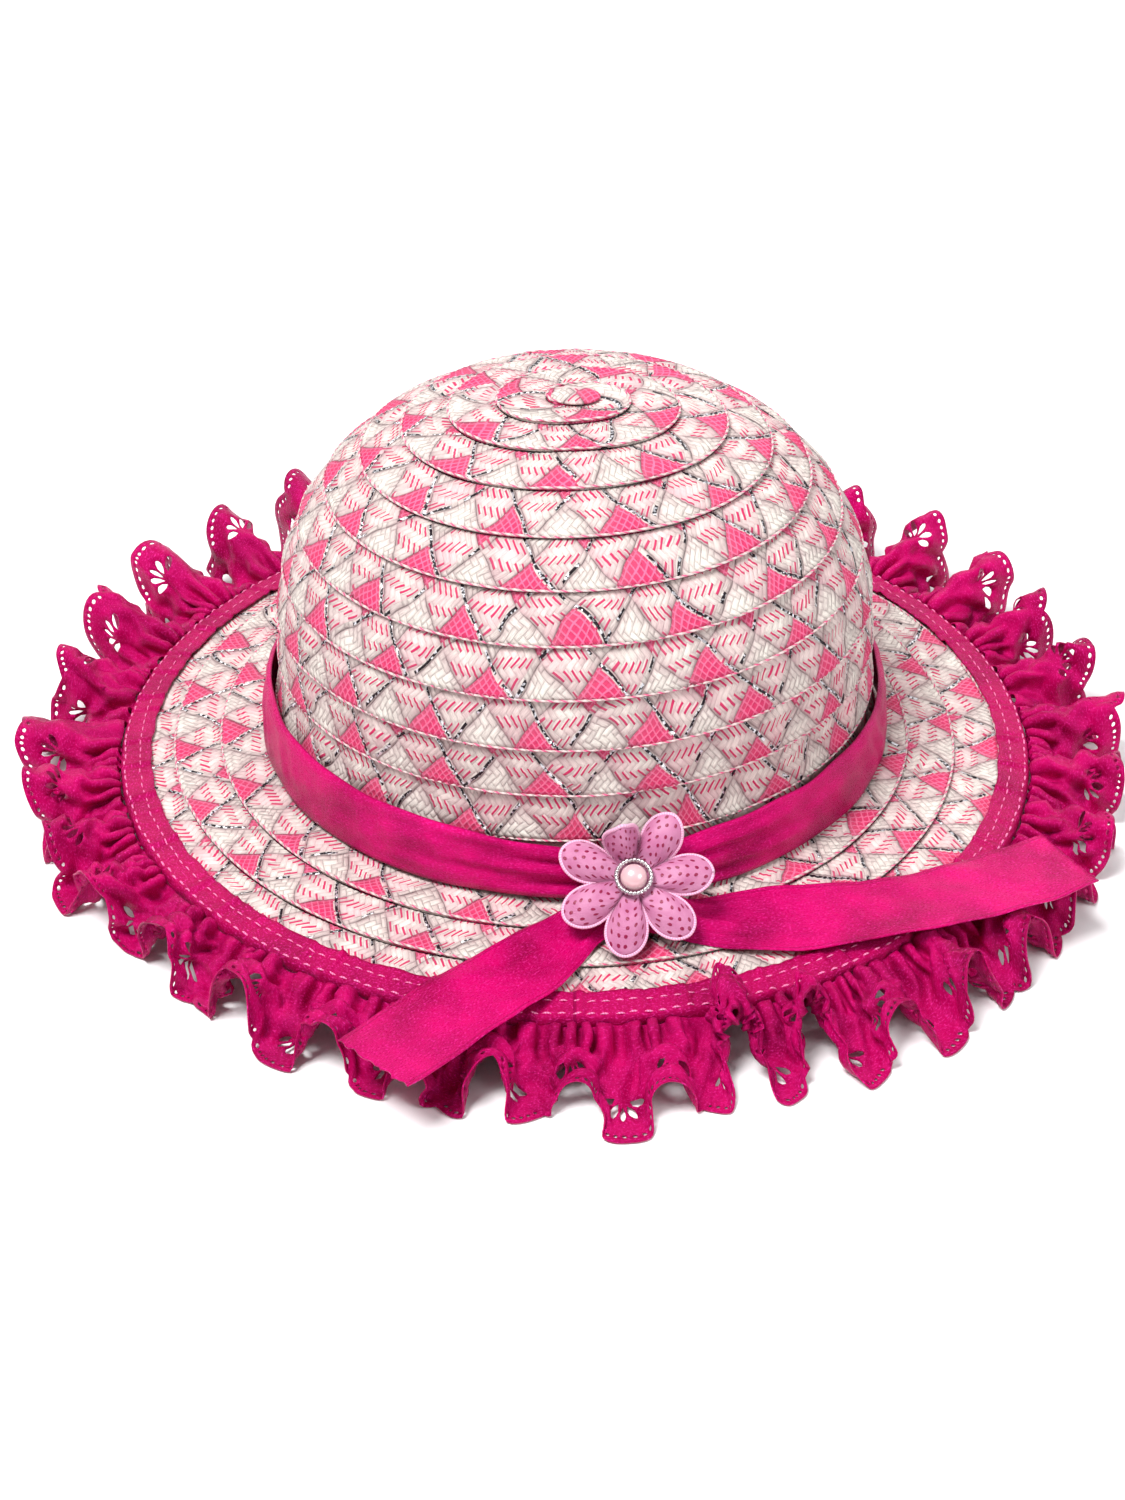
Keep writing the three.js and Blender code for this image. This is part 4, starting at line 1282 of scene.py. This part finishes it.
FOLDS = (
    Fold(-174, 0.95, 0.9, 0.95, 1.0),
    Fold(-163, 1.0, 0.85, 0.95, 1.05),
    Fold(-151, 0.9, 1.05, 0.95, 1.12),
    Fold(-140, 0.95, 0.95, 0.95, 1.0),
    Fold(-129, 0.9, 1.0, 0.9, 1.1),
    Fold(-118, 1.0, 1.0, 0.9, 1.0),
    Fold(-106.5, 0.95, 0.8, 0.8, 0.85),
    Fold(-95, 0.95, 0.4, 0.9, 1.06),
    Fold(-84, 0.95, 0.6, 0.85, 0.9),
    Fold(-74, 1.0, 0.5, 0.8, 0.8),
    Fold(-65, 1.0, 0.5, 0.85, 0.7),
    Fold(-54, 1.0, 0.5, 0.58, 0.55),
    Fold(-42, 1.0, 0.55, 0.62, 0.55),
    Fold(-30.5, 1.0, 0.25, 0.78, 0.6),
    Fold(-20, 0.95, 0.2, 0.78, 0.6),
    Fold(-12.5, 1.0, 0.15, 0.86, 0.6),
    Fold(-4.5, 1.0, -0.3, 0.84, 0.58),
    Fold(4.5, 1.0, -0.1, 1.05, 0.72),
    Fold(13, 1.0, 0.8, 0.86, -0.3),
    Fold(20.5, 1.0, 0.8, 0.88, 0.1),
    Fold(28.5, 0.95, 0.1, 0.99, 0.6),
    Fold(38, 1.0, 0.4, 1.0, 0.65),
    Fold(47, 0.95, 0.25, 0.9, 0.7),
    Fold(57, 0.95, 0.25, 0.85, 0.75),
    Fold(67, 0.95, 0.35, 0.85, 0.85),
    Fold(77, 0.95, 0.55, 0.85, 0.88),
    Fold(87, 0.95, 0.7, 0.85, 0.98),
    Fold(97, 0.95, 0.9, 0.85, 0.88),
    Fold(107, 1.0, 1.0, 0.8, 0.85),
    Fold(117, 0.95, 1.0, 0.85, 0.93),
    Fold(127, 0.9, 1.05, 0.85, 0.9),
    Fold(138, 0.95, 1.0, 0.85, 0.85),
    Fold(149, 1.0, 0.95, 0.9, 0.95),
    Fold(160, 0.95, 0.9, 0.95, 1.0),
    Fold(172, 1.0, 0.95, 0.95, 1.0),
)


class Drift(NamedTuple):
    """How far the small gathers stray from an even pitch, in waves that close round the frill."""

    times: int
    size: float
    start: float


DRIFTS = (Drift(7, 5.0, 0.0), Drift(19, 2.4, 1.0), Drift(43, 1.5, 2.0))


@dataclass
class Scallop:
    """One scallop of the frill laid flat, with its eyelets and the fan of slots cut out."""

    width: float = 34.0
    pitch: float = 24.9
    depth: float = 4.4
    depth_power: float = 1.4
    eyelets: int = 11
    eyelet_radius: float = 0.62
    eyelet_inset: float = 2.1
    leaves: int = 5
    leaf_spread: float = 31.0
    leaf_near: float = 3.0
    leaf_length: float = 5.0
    leaf_width: float = 2.1
    fan_inset: float = 15.2
    cell: float = 1.9
    seam_rows: Tuple[float, ...] = (0.06, 0.13, 0.21, 0.3, 0.4)

    def edge(self, along: np.ndarray) -> np.ndarray:
        """How far out the edge lies, in millimetres from the seam."""
        notch = (1 - np.sin(np.pi * along / self.pitch)) ** self.depth_power
        return self.width - self.depth * notch

    def holes(self) -> list:
        """The outlines of the eyelets and the slots."""
        outlines = []
        samples = np.linspace(0, self.pitch, 200)
        line = np.stack([samples, self.edge(samples)], -1)
        run = np.r_[0, np.cumsum(np.linalg.norm(np.diff(line, axis=0), axis=1))]
        ring = np.linspace(0, 2 * np.pi, 7)[:-1]
        for i in range(self.eyelets):
            distance = run[-1] * (i + 0.5) / self.eyelets
            x, y = (float(np.interp(distance, run, line[:, k])) for k in (0, 1))
            slope = float(np.interp(distance, run, np.gradient(line[:, 1], line[:, 0])))
            inward = np.array([slope, -1.0]) / math.hypot(slope, 1.0) * self.eyelet_inset
            centre = np.array([x, y]) + inward
            circle = np.stack([np.cos(ring), np.sin(ring)], -1) * self.eyelet_radius
            outlines.append(centre + circle)
        fan = np.array([self.pitch / 2, self.width - self.fan_inset])
        for i in range(self.leaves):
            angle = math.radians((i - (self.leaves - 1) / 2) * self.leaf_spread)
            out = np.array([math.sin(angle), math.cos(angle)])
            side = np.array([out[1], -out[0]])
            shares = ((0, 0), (0.3, 0.42), (0.62, 0.5), (0.88, 0.3))
            shares += ((1, 0), (0.88, -0.3), (0.62, -0.5), (0.3, -0.42))
            leaf = [
                fan + out * (self.leaf_near + self.leaf_length * far) + side * self.leaf_width * wide
                for far, wide in shares
            ]
            outlines.append(np.array(leaf))
        return outlines

    def cloth_area(self) -> float:
        """Area of one flat scallop in square millimetres, without what is cut out."""
        flat, faces = self.tile()
        a, b, c = (flat[faces[:, k]] for k in range(3))
        return float(np.abs((b - a)[:, 0] * (c - a)[:, 1] - (b - a)[:, 1] * (c - a)[:, 0]).sum() / 2)

    def tile(self) -> Tuple[np.ndarray, np.ndarray]:
        """Meshes the scallop.

        Returns:
            Points, as length along the seam and distance from it, and triangles.
        """
        holes = self.holes()
        levels = np.linspace(0, float(self.edge(np.array([0.0]))[0]), 13)
        along = np.linspace(0, self.pitch, 25)
        edge = np.stack([along, self.edge(along)], -1)
        base = np.stack([along, 0 * along], -1)
        left = np.stack([0 * levels[1:-1], levels[1:-1]], -1)
        outline = np.concatenate([base, left + [self.pitch, 0], edge[::-1], left[::-1]])
        points = [Vector(p) for p in outline]
        edges = [(i, (i + 1) % len(outline)) for i in range(len(outline))]
        for hole in holes:
            first = len(points)
            points += [Vector(p) for p in hole]
            edges += [(first + i, first + (i + 1) % len(hole)) for i in range(len(hole))]
        for share in self.seam_rows:
            points += [Vector((x, share * self.width)) for x in along[1:-1]]
        taken = np.array([tuple(p) for p in points])
        rows = np.arange(self.seam_rows[-1] * self.width + 0.7 * self.cell, self.width, self.cell)
        for number, y in enumerate(rows):
            for x in np.arange(self.cell * (0.6 + 0.5 * (number % 2)), self.pitch - 0.9, self.cell):
                if y > self.edge(np.array([x]))[0] - 0.9:
                    continue
                if np.hypot(taken[:, 0] - x, taken[:, 1] - y).min() < 0.8:
                    continue
                if any(inside(hole, x, y) for hole in holes):
                    continue
                points.append(Vector((x, y)))
        found, _, faces, *_ = delaunay_2d_cdt(points, edges, [], 0, 1e-6, False)
        flat = np.array([tuple(p) for p in found])
        kept = []
        for face in faces:
            middle = flat[list(face)].mean(0)
            if middle[1] > self.edge(np.array([middle[0]]))[0] - 0.01:
                continue
            if not any(inside(hole, *middle) for hole in holes):
                kept.append(face)
        return flat, np.array(kept)


def inside(outline: np.ndarray, x: float, y: float) -> bool:
    """Tells whether a point lies in a closed outline."""
    ahead = np.roll(outline, -1, 0)
    crosses = (outline[:, 1] > y) != (ahead[:, 1] > y)
    rise = np.where(crosses, ahead[:, 1] - outline[:, 1], 1.0)
    reach = outline[:, 0] + (y - outline[:, 1]) / rise * (ahead[:, 0] - outline[:, 0])
    return bool(np.count_nonzero(crosses & (x < reach)) % 2)


@dataclass
class Frill:
    """Gathered satin strip sewn on outside the tape, folded up and down, with a pierced edge."""

    place: Place
    finishes: Finishes
    form: StrawForm
    tails: Sequence[Tail]
    scallop: Scallop = field(default_factory=Scallop)
    inner_radius: float = 127.0
    level: float = -2.11
    reach: float = 29.0
    fold_depth: float = 12.6
    fold_height: float = 13.3
    bulge: float = 0.17
    opening_power: float = 1.6
    press_slope: float = 1.1
    floor: float = 13.3
    wall: float = 0.35
    tail_over: float = 2.4
    gathers: int = 2
    gather_full: float = 0.16
    gather_end: float = 0.46
    buckles: int = 3
    buckle_share: float = 0.75
    buckle_from: float = 0.05
    buckle_to: float = 0.97
    buckle_fade: float = 0.25
    trough_power: float = 1.5
    seam_press: float = 0.55

    def fold_at(self, phase: np.ndarray) -> Tuple[np.ndarray, ...]:
        """Start, end and share of the half fold at each phase, with its height and reach."""
        count = len(FOLDS)
        table = np.array(FOLDS)
        number = np.floor(phase).astype(int)
        row, after = table[number % count], table[(number + 1) % count]
        at = row[:, 0]
        next_at = after[:, 0] + np.where(after[:, 0] <= at, 360.0, 0.0)
        crest = (at + next_at) / 2
        rising = phase - number < 0.5
        share = (phase - number) * 2 - np.where(rising, 0.0, 1.0)
        low = np.where(rising[:, None], row, after)
        high = np.where(rising, ease(share), 1 - ease(share)) ** self.trough_power
        height = blend(-low[:, 1] * self.fold_depth, row[:, 2] * self.fold_height, high)
        reach = blend(low[:, 3], row[:, 4], high)
        return np.where(rising, at, crest), np.where(rising, crest, next_at), share, height, reach

    def pressed(self, x: np.ndarray, y: np.ndarray) -> np.ndarray:
        """The highest level that the frill may reach where a tail lies on it."""
        level = np.full(x.shape, np.inf)
        for tail in self.tails:
            tx, ty, _, along = tail.route(13)
            under = tail.level(x, y) - 0.3 - 0.5 - 0.3
            half = tail.width_at(along) / 2 + self.tail_over
            for cx, cy, spread in zip(tx, ty, half):
                clear = np.maximum(0, np.hypot(x - cx, y - cy) - spread)
                level = np.minimum(level, under + clear * self.press_slope)
        return np.maximum(level, self.level)

    def shape(self, phase: np.ndarray, out: np.ndarray) -> np.ndarray:
        """Points of the large folds.

        Args:
            phase: Which fold, as in the table.
            out: 0 at the seam and 1 at the full width.

        Returns:
            Points in hat millimetres.
        """
        start, end, share, height, reach = self.fold_at(phase)
        swell = self.bulge * out * np.sin(2 * np.pi * share)
        azimuth = np.radians(blend(start, end, share + swell))
        opening = 1 - (1 - out) ** self.opening_power
        radius = self.inner_radius + self.reach * (out + (reach - 1) * out * out)
        x, y = radius * np.sin(azimuth), -radius * np.cos(azimuth)
        return np.stack([x, y, self.level + height * opening], -1)

    def points(self, flat: np.ndarray, out: np.ndarray, run: np.ndarray, phase: np.ndarray) -> np.ndarray:
        """Points of the frill, with the small gathers that take up the strip's length at the seam.

        Args:
            flat: Length along the strip laid flat.
            out: 0 at the seam and 1 at the full width.
            run: Length along the outer edge.
            phase: The fold at each of those lengths.

        Returns:
            Points in hat millimetres.
        """
        total = run[-1]

        def at(length: np.ndarray, far: np.ndarray) -> np.ndarray:
            return self.shape(np.interp(np.mod(length, total), run, phase), np.clip(far, 0, 1))

        stops = np.linspace(0, 1, 13)
        line = np.stack([at(flat, np.full_like(out, stop)) for stop in stops], 1)
        reached = np.cumsum(np.linalg.norm(np.diff(line, axis=1), axis=-1), 1)
        reached = np.concatenate([np.zeros_like(reached[:, :1]), reached], 1)
        across = reached[:, -1]
        far = np.zeros_like(out)
        for k in range(len(stops) - 1):
            share = (out * across - reached[:, k]) / (reached[:, k + 1] - reached[:, k])
            far = far + np.clip(share, 0, 1) / (len(stops) - 1)

        along = at(flat + 0.5, far) - at(flat - 0.5, far)
        pace = np.linalg.norm(along, axis=-1)
        along /= pace[:, None]
        outward = at(flat, far + 0.02) - at(flat, far - 0.02)
        outward /= np.linalg.norm(outward, axis=-1)[:, None]
        up = np.cross(outward, along)
        up /= np.linalg.norm(up, axis=-1)[:, None]
        swings = np.linspace(0, 1.9, 60)
        advance = -harmonic(0, swings)
        bend = self.buckle_share * np.interp(-np.clip(across / self.scallop.width, 0, 1), advance, swings)
        bend = bend * ease(np.clip((out - self.buckle_from) / self.buckle_fade, 0, 1))
        bend = bend * ease(np.clip((self.buckle_to - out) / self.buckle_fade, 0, 1))
        buckle = 2 * np.pi * self.buckles * out + 2.6 * ripple(flat / 26, 65)
        depth = self.scallop.width / self.buckles / np.pi
        swing = np.interp(-np.clip(pace, 0, 1), advance, swings)
        swing = swing * ease(np.clip((self.gather_end - out) / (self.gather_end - self.gather_full), 0, 1))
        turn = 2 * np.pi * flat / total
        count = self.gathers * round(total / self.scallop.pitch)
        wave = count * turn
        for drift in DRIFTS:
            wave = wave + drift.size * np.sin(drift.times * turn + drift.start)
        length = total / count / np.pi
        side = 0.5 * length * harmonic(2, swing) * np.sin(2 * wave)
        rise = -length * (harmonic(1, swing) * np.cos(wave) + harmonic(3, swing) * np.cos(3 * wave) / 3)
        rise = rise * blend(self.seam_press, 1.0, np.clip(out / 0.07, 0, 1))
        rise = rise + 0.7 * ripple(flat / 15 + 1.3 * out, 62) * np.sin(np.pi * np.clip(out * 0.75, 0, 1))
        side = side + 0.9 * ripple(flat / 19 + 0.7 * out, 64) * out
        rise = rise - depth * harmonic(1, bend) * np.cos(buckle)
        ahead = 0.5 * depth * harmonic(2, bend) * np.sin(2 * buckle)
        made = at(flat, far) + along * side[:, None] + outward * ahead[:, None] + up * rise[:, None]
        return self.settle(made)

    def settle(self, points: np.ndarray) -> np.ndarray:
        """Keeps points under the tails and over the floor."""
        z = np.minimum(points[:, 2], self.pressed(points[:, 0], points[:, 1]))
        return np.stack([points[:, 0], points[:, 1], np.maximum(z, 0.25 - self.floor)], -1)

    def phases(self) -> Tuple[np.ndarray, np.ndarray]:
        """Length along the outer edge, and the phase at it."""
        phase = np.linspace(0, len(FOLDS), len(FOLDS) * 24 + 1)
        points = self.settle(self.shape(phase, np.ones_like(phase)))
        run = np.r_[0, np.cumsum(np.linalg.norm(np.diff(points, axis=0), axis=1))]
        return run, phase

    def build(self) -> bpy.types.Object:
        """Makes the frill."""
        run, phase = self.phases()
        count = round(run[-1] / self.scallop.pitch)
        flat, faces = self.scallop.tile()
        pitch = run[-1] / count
        mesh = bpy.data.meshes.new("frill")
        number = np.repeat(np.arange(count), len(flat))
        along = np.tile(flat[:, 0], count) / self.scallop.pitch
        distance = (number + along) * pitch
        out = np.tile(flat[:, 1], count) / self.scallop.width
        wrap = np.where(distance >= run[-1] - 1e-6, 0.0, distance)
        points = self.place.world(self.points(wrap, out, run, phase))
        triangles = (faces[None] + (np.arange(count) * len(flat))[:, None, None]).reshape(-1, 3)
        mesh.from_pydata(points.tolist(), [], triangles[:, ::-1].tolist())
        loops = np.empty(len(mesh.loops), np.int32)
        mesh.loops.foreach_get("vertex_index", loops)
        layer = mesh.uv_layers.new(name="weave")
        marks = np.stack([distance, out * self.scallop.width], -1)
        layer.data.foreach_set("uv", marks[loops].astype(np.float32).ravel())
        made = bpy.data.objects.new("frill", mesh)
        bpy.context.scene.collection.objects.link(made)
        drop_loose(made, merge=0.01 * MM)
        mesh.shade_smooth()
        thicken(made, self.wall)
        self.finishes.wear(made, Finish.FRILL)
        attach(made, "root")
        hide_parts("ruffle")
        LOG.info("frill: %d scallops, %d faces, edge %.0f mm", count, len(mesh.polygons), run[-1])
        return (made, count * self.scallop.cloth_area() * MM * MM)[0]


class Petal(NamedTuple):
    """One petal: its direction, its length as a share and how far it bends forward."""

    turn: float
    reach: float
    lift: float


PETALS = (
    Petal(5, 1.0, 8),
    Petal(56, 0.98, 24),
    Petal(107, 0.95, 66),
    Petal(160, 0.98, 12),
    Petal(211, 1.0, 4),
    Petal(262, 1.0, 4),
    Petal(314, 1.0, 6),
)


@dataclass
class Flower:
    """Padded cloth flower with piping round its petals, a half pearl and a twisted silver ring."""

    place: Place
    finishes: Finishes
    bow: Bow
    radius: float = 20.0
    notch: float = 0.34
    pad: float = 3.2
    seat: float = 2.0
    piping: float = 1.0
    piping_radius: float = 0.52
    lobe_power: float = 1.75
    steps: int = 24
    pearl_radius: float = 3.4
    pearl_height: float = 3.0
    rope_radius: float = 0.65
    rope_twists: int = 14
    gap: float = 0.3

    def frame(self) -> Matrix:
        """Places the flower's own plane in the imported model's frame."""
        turn = Matrix.Rotation(math.radians(90 - self.bow.tilt), 4, "X")
        spot = Vector(self.place.world(np.array([self.bow.offset, -self.bow.out, self.bow.rise])))
        return Matrix.Translation(spot) @ turn @ Matrix.Scale(MM, 4)

    def petal_at(self, turn: float) -> Tuple[Petal, float]:
        """The petal that a direction lies in, and how far across it: -1 to 1."""
        offs = [((turn - petal.turn + 540) % 360 - 180, petal) for petal in PETALS]
        off, petal = min(offs, key=lambda pair: abs(pair[0]))
        return petal, max(-1.0, min(1.0, off / (180 / len(PETALS))))

    def at(self, turn: float, ring: float, height: float) -> Tuple[float, float, float]:
        """A point of the flower.

        Args:
            turn: Direction in its plane in degrees.
            ring: Share of the way to the petal's edge.
            height: Height over its back.

        Returns:
            The point in the flower's own millimetres.
        """
        petal, across = self.petal_at(turn)
        lobe = math.sqrt(max(0.0, 1 - abs(across) ** self.lobe_power))
        edge = self.radius * (self.notch + (petal.reach - self.notch) * lobe)
        lift = math.radians(petal.lift * (1 - abs(across) ** 3))
        distance = ring * edge
        beyond = max(0.0, distance - self.radius * self.notch)
        tilt = lift if beyond > 0 else 0.0
        flat = distance - beyond + beyond * math.cos(lift) - height * math.sin(tilt)
        angle = math.radians(turn)
        rise = beyond * math.sin(lift) + height * math.cos(tilt)
        return flat * math.cos(angle), flat * math.sin(angle), rise

    def build(self) -> None:
        """Makes the flower, its piping, the pearl and its ring."""
        count = len(PETALS) * self.steps
        rings = (0.0, 0.16, 0.3, 0.42, 0.54, 0.66, 0.77, 0.87, 0.95, 1.0)
        turns = [PETALS[0].turn + 360 * i / count for i in range(count)]
        front = np.zeros((count, len(rings), 3))
        back = np.zeros((count, len(rings), 3))
        marks = np.zeros((count, len(rings), 2))
        for i, turn in enumerate(turns):
            _, across = self.petal_at(turn)
            for k, ring in enumerate(rings):
                puff = math.sin(math.pi * min(1.0, (1 - ring) * 1.25)) * (1 - abs(across) ** 2.2) ** 0.8
                body = self.piping + (self.pad + 0.6 - self.piping) * puff
                inner = min(1.0, max(0.0, (ring - 0.2) / 0.25))
                pad = self.seat * (1 - inner) + body * inner
                front[i, k] = self.at(turn, ring, pad)
                back[i, k] = self.at(turn, ring, 0.0)
                marks[i, k] = (
                    ring * self.radius * math.cos(math.radians(turn)),
                    ring * self.radius * math.sin(math.radians(turn)),
                )
        frame_matrix = self.frame()
        place = np.array(frame_matrix)
        mesh = Mesh()
        sheet = np.concatenate([front, back[:, ::-1]], 1)
        both = np.concatenate([marks, marks[:, ::-1]], 1)
        world = sheet @ place[:3, :3].T + place[:3, 3]
        mesh.grid(world, both, closed=True, flip=True)
        made = mesh.build("flower_petals")
        drop_loose(made, merge=0.01 * MM)
        made.data.shade_smooth()
        self.finishes.wear(made, Finish.PETAL)
        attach(made, "root")
        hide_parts("flower")
        path = np.array([self.at(turn, 1.0, self.piping * 0.6) for turn in turns])
        mesh = Mesh()
        tube(mesh, path @ place[:3, :3].T + place[:3, 3], self.piping_radius, 8, closed=True)
        piping = mesh.build("petal_piping")
        self.finishes.wear(piping, Finish.PIPING)
        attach(piping, "root")
        self.pearl(frame_matrix)
        self.ring(frame_matrix)

    def pearl(self, frame_matrix: Matrix) -> None:
        """Makes the half pearl from a ball cut flat."""
        bpy.ops.object.select_all(action="DESELECT")
        bpy.ops.mesh.primitive_uv_sphere_add(segments=48, ring_count=32, radius=self.pearl_radius)
        pearl = bpy.context.active_object
        pearl.name = pearl.data.name = "pearl_bead"
        bpy.ops.object.mode_set(mode="EDIT")
        bpy.ops.mesh.select_all(action="SELECT")
        bpy.ops.mesh.bisect(plane_co=(0, 0, -0.2), plane_no=(0, 0, 1), use_fill=True, clear_inner=True)
        bpy.ops.object.mode_set(mode="OBJECT")
        squash = Matrix.Diagonal((1, 1, self.pearl_height / self.pearl_radius, 1))
        seat = Matrix.Translation((0, 0, self.seat + 0.9))
        pearl.data.transform(frame_matrix @ seat @ squash)
        bpy.ops.object.shade_smooth()
        self.finishes.wear(pearl, Finish.PEARL)
        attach(pearl, "root")
        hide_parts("pearl")

    def ring(self, frame_matrix: Matrix) -> None:
        """Makes the twisted ring from a torus with a spiral groove."""
        bpy.ops.object.select_all(action="DESELECT")
        centre = self.pearl_radius + self.gap + self.rope_radius
        bpy.ops.mesh.primitive_torus_add(
            major_radius=centre, minor_radius=self.rope_radius, major_segments=168, minor_segments=14
        )
        ring = bpy.context.active_object
        ring.name = ring.data.name = "twisted_ring"
        for vertex in ring.data.vertices:
            turn = math.atan2(vertex.co.y, vertex.co.x)
            middle = Vector((math.cos(turn), math.sin(turn), 0)) * centre
            off = vertex.co - middle
            around = math.atan2(off.z, math.hypot(vertex.co.x, vertex.co.y) - centre)
            swell = 0.62 + 0.42 * abs(math.cos(around + turn * self.rope_twists))
            vertex.co = middle + off * swell
        seat = Matrix.Translation((0, 0, self.seat + 0.9 + self.rope_radius))
        ring.data.transform(frame_matrix @ seat)
        bpy.ops.object.shade_smooth()
        self.finishes.wear(ring, Finish.SILVER)
        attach(ring, "root")
        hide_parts("pearl_setting")


@dataclass(frozen=True)
class Studio:
    """Floor, lights and the camera."""

    elevation: float = 34.0
    distance: float = 761.6
    aim_x: float = -3.43
    aim_z: float = -7.43
    lens: float = 64.7
    floor_size: float = 8.0
    floor: Colour = (0.93, 0.925, 0.93, 1.0)

    def build(self, place: Place) -> None:
        """Sets up the studio round the hat."""
        bpy.ops.object.select_all(action="DESELECT")
        bpy.ops.mesh.primitive_plane_add(size=self.floor_size, location=(0, 0, -0.0004))
        floor = bpy.context.active_object
        floor.name = "studio_floor"
        shade = Shade("pale_floor")
        speck = shade.noise(shade.place(), 6.0, 2.0)
        shade.set(Base_Color=shade.mix(speck, self.floor, (0.9, 0.895, 0.9, 1.0)), Roughness=0.9)
        floor.data.materials.append(shade.material)
        world = bpy.data.worlds.new("studio")
        world.use_nodes = True
        world.node_tree.nodes["Background"].inputs[0].default_value = (1.0, 1.0, 1.0, 1.0)
        world.node_tree.nodes["Background"].inputs[1].default_value = 0.36
        bpy.context.scene.world = world
        self.light("key", (-0.45, -0.35, 1.3), 0.55, 25.0)
        self.light("fill", (0.95, -0.55, 0.7), 0.6, 6.0)
        self.light("back", (0.1, 1.0, 0.95), 0.9, 7.0)
        bpy.context.scene.view_settings.view_transform = "Standard"
        self.camera(place)

    def light(self, name: str, spot: Tuple[float, float, float], size: float, power: float) -> None:
        """Adds one soft light that looks at the hat."""
        data = bpy.data.lights.new(name, "AREA")
        data.size = size
        data.energy = power
        lamp = bpy.data.objects.new(name, data)
        lamp.location = spot
        lamp.rotation_mode = "QUATERNION"
        lamp.rotation_quaternion = (Vector((0, 0, 0.04)) - Vector(spot)).to_track_quat("-Z", "Y")
        bpy.context.scene.collection.objects.link(lamp)

    def camera(self, place: Place) -> None:
        """Adds the camera at the photo's angle."""
        data = bpy.data.cameras.new("camera")
        data.lens = self.lens
        data.sensor_width = 36.0
        data.sensor_fit = "AUTO"
        data.clip_start, data.clip_end = 0.01, 30.0
        camera = bpy.data.objects.new("camera", data)
        tilt = math.radians(self.elevation)
        back = Vector((0, -math.cos(tilt), math.sin(tilt)))
        aim = Vector(place.world(np.array([self.aim_x, 0.0, self.aim_z])))
        camera.location = aim + back * self.distance * MM
        camera.rotation_mode = "QUATERNION"
        camera.rotation_quaternion = (-back).to_track_quat("-Z", "Y")
        bpy.context.scene.collection.objects.link(camera)
        bpy.context.scene.camera = camera


def main() -> None:
    """Builds the hat's pieces in order, then the studio."""
    logging.basicConfig(level=logging.INFO, format="%(name)s: %(message)s")
    place = Place.from_frame()
    finishes = Finishes()
    form = StrawForm()
    bow = Bow()
    Braid(place, finishes).build()
    Band(place, finishes, form, bow).build()
    tails = [
        Tail("tail_left", -1, 84.0, 180.0, 46.0, 0.0, 1.5, form, bow),
        Tail("tail_right", 1, 118.0, -2.0, 0.0, 30.0, 0.0, form, bow),
    ]
    for tail in tails:
        tail.build(place, finishes)
        LOG.info("%s", tail.name)
    EdgeTape(place, finishes, form).build()
    Frill(place, finishes, form, tails).build()
    Flower(place, finishes, bow).build()
    Studio().build(place)


if __name__ == "__main__":
    main()
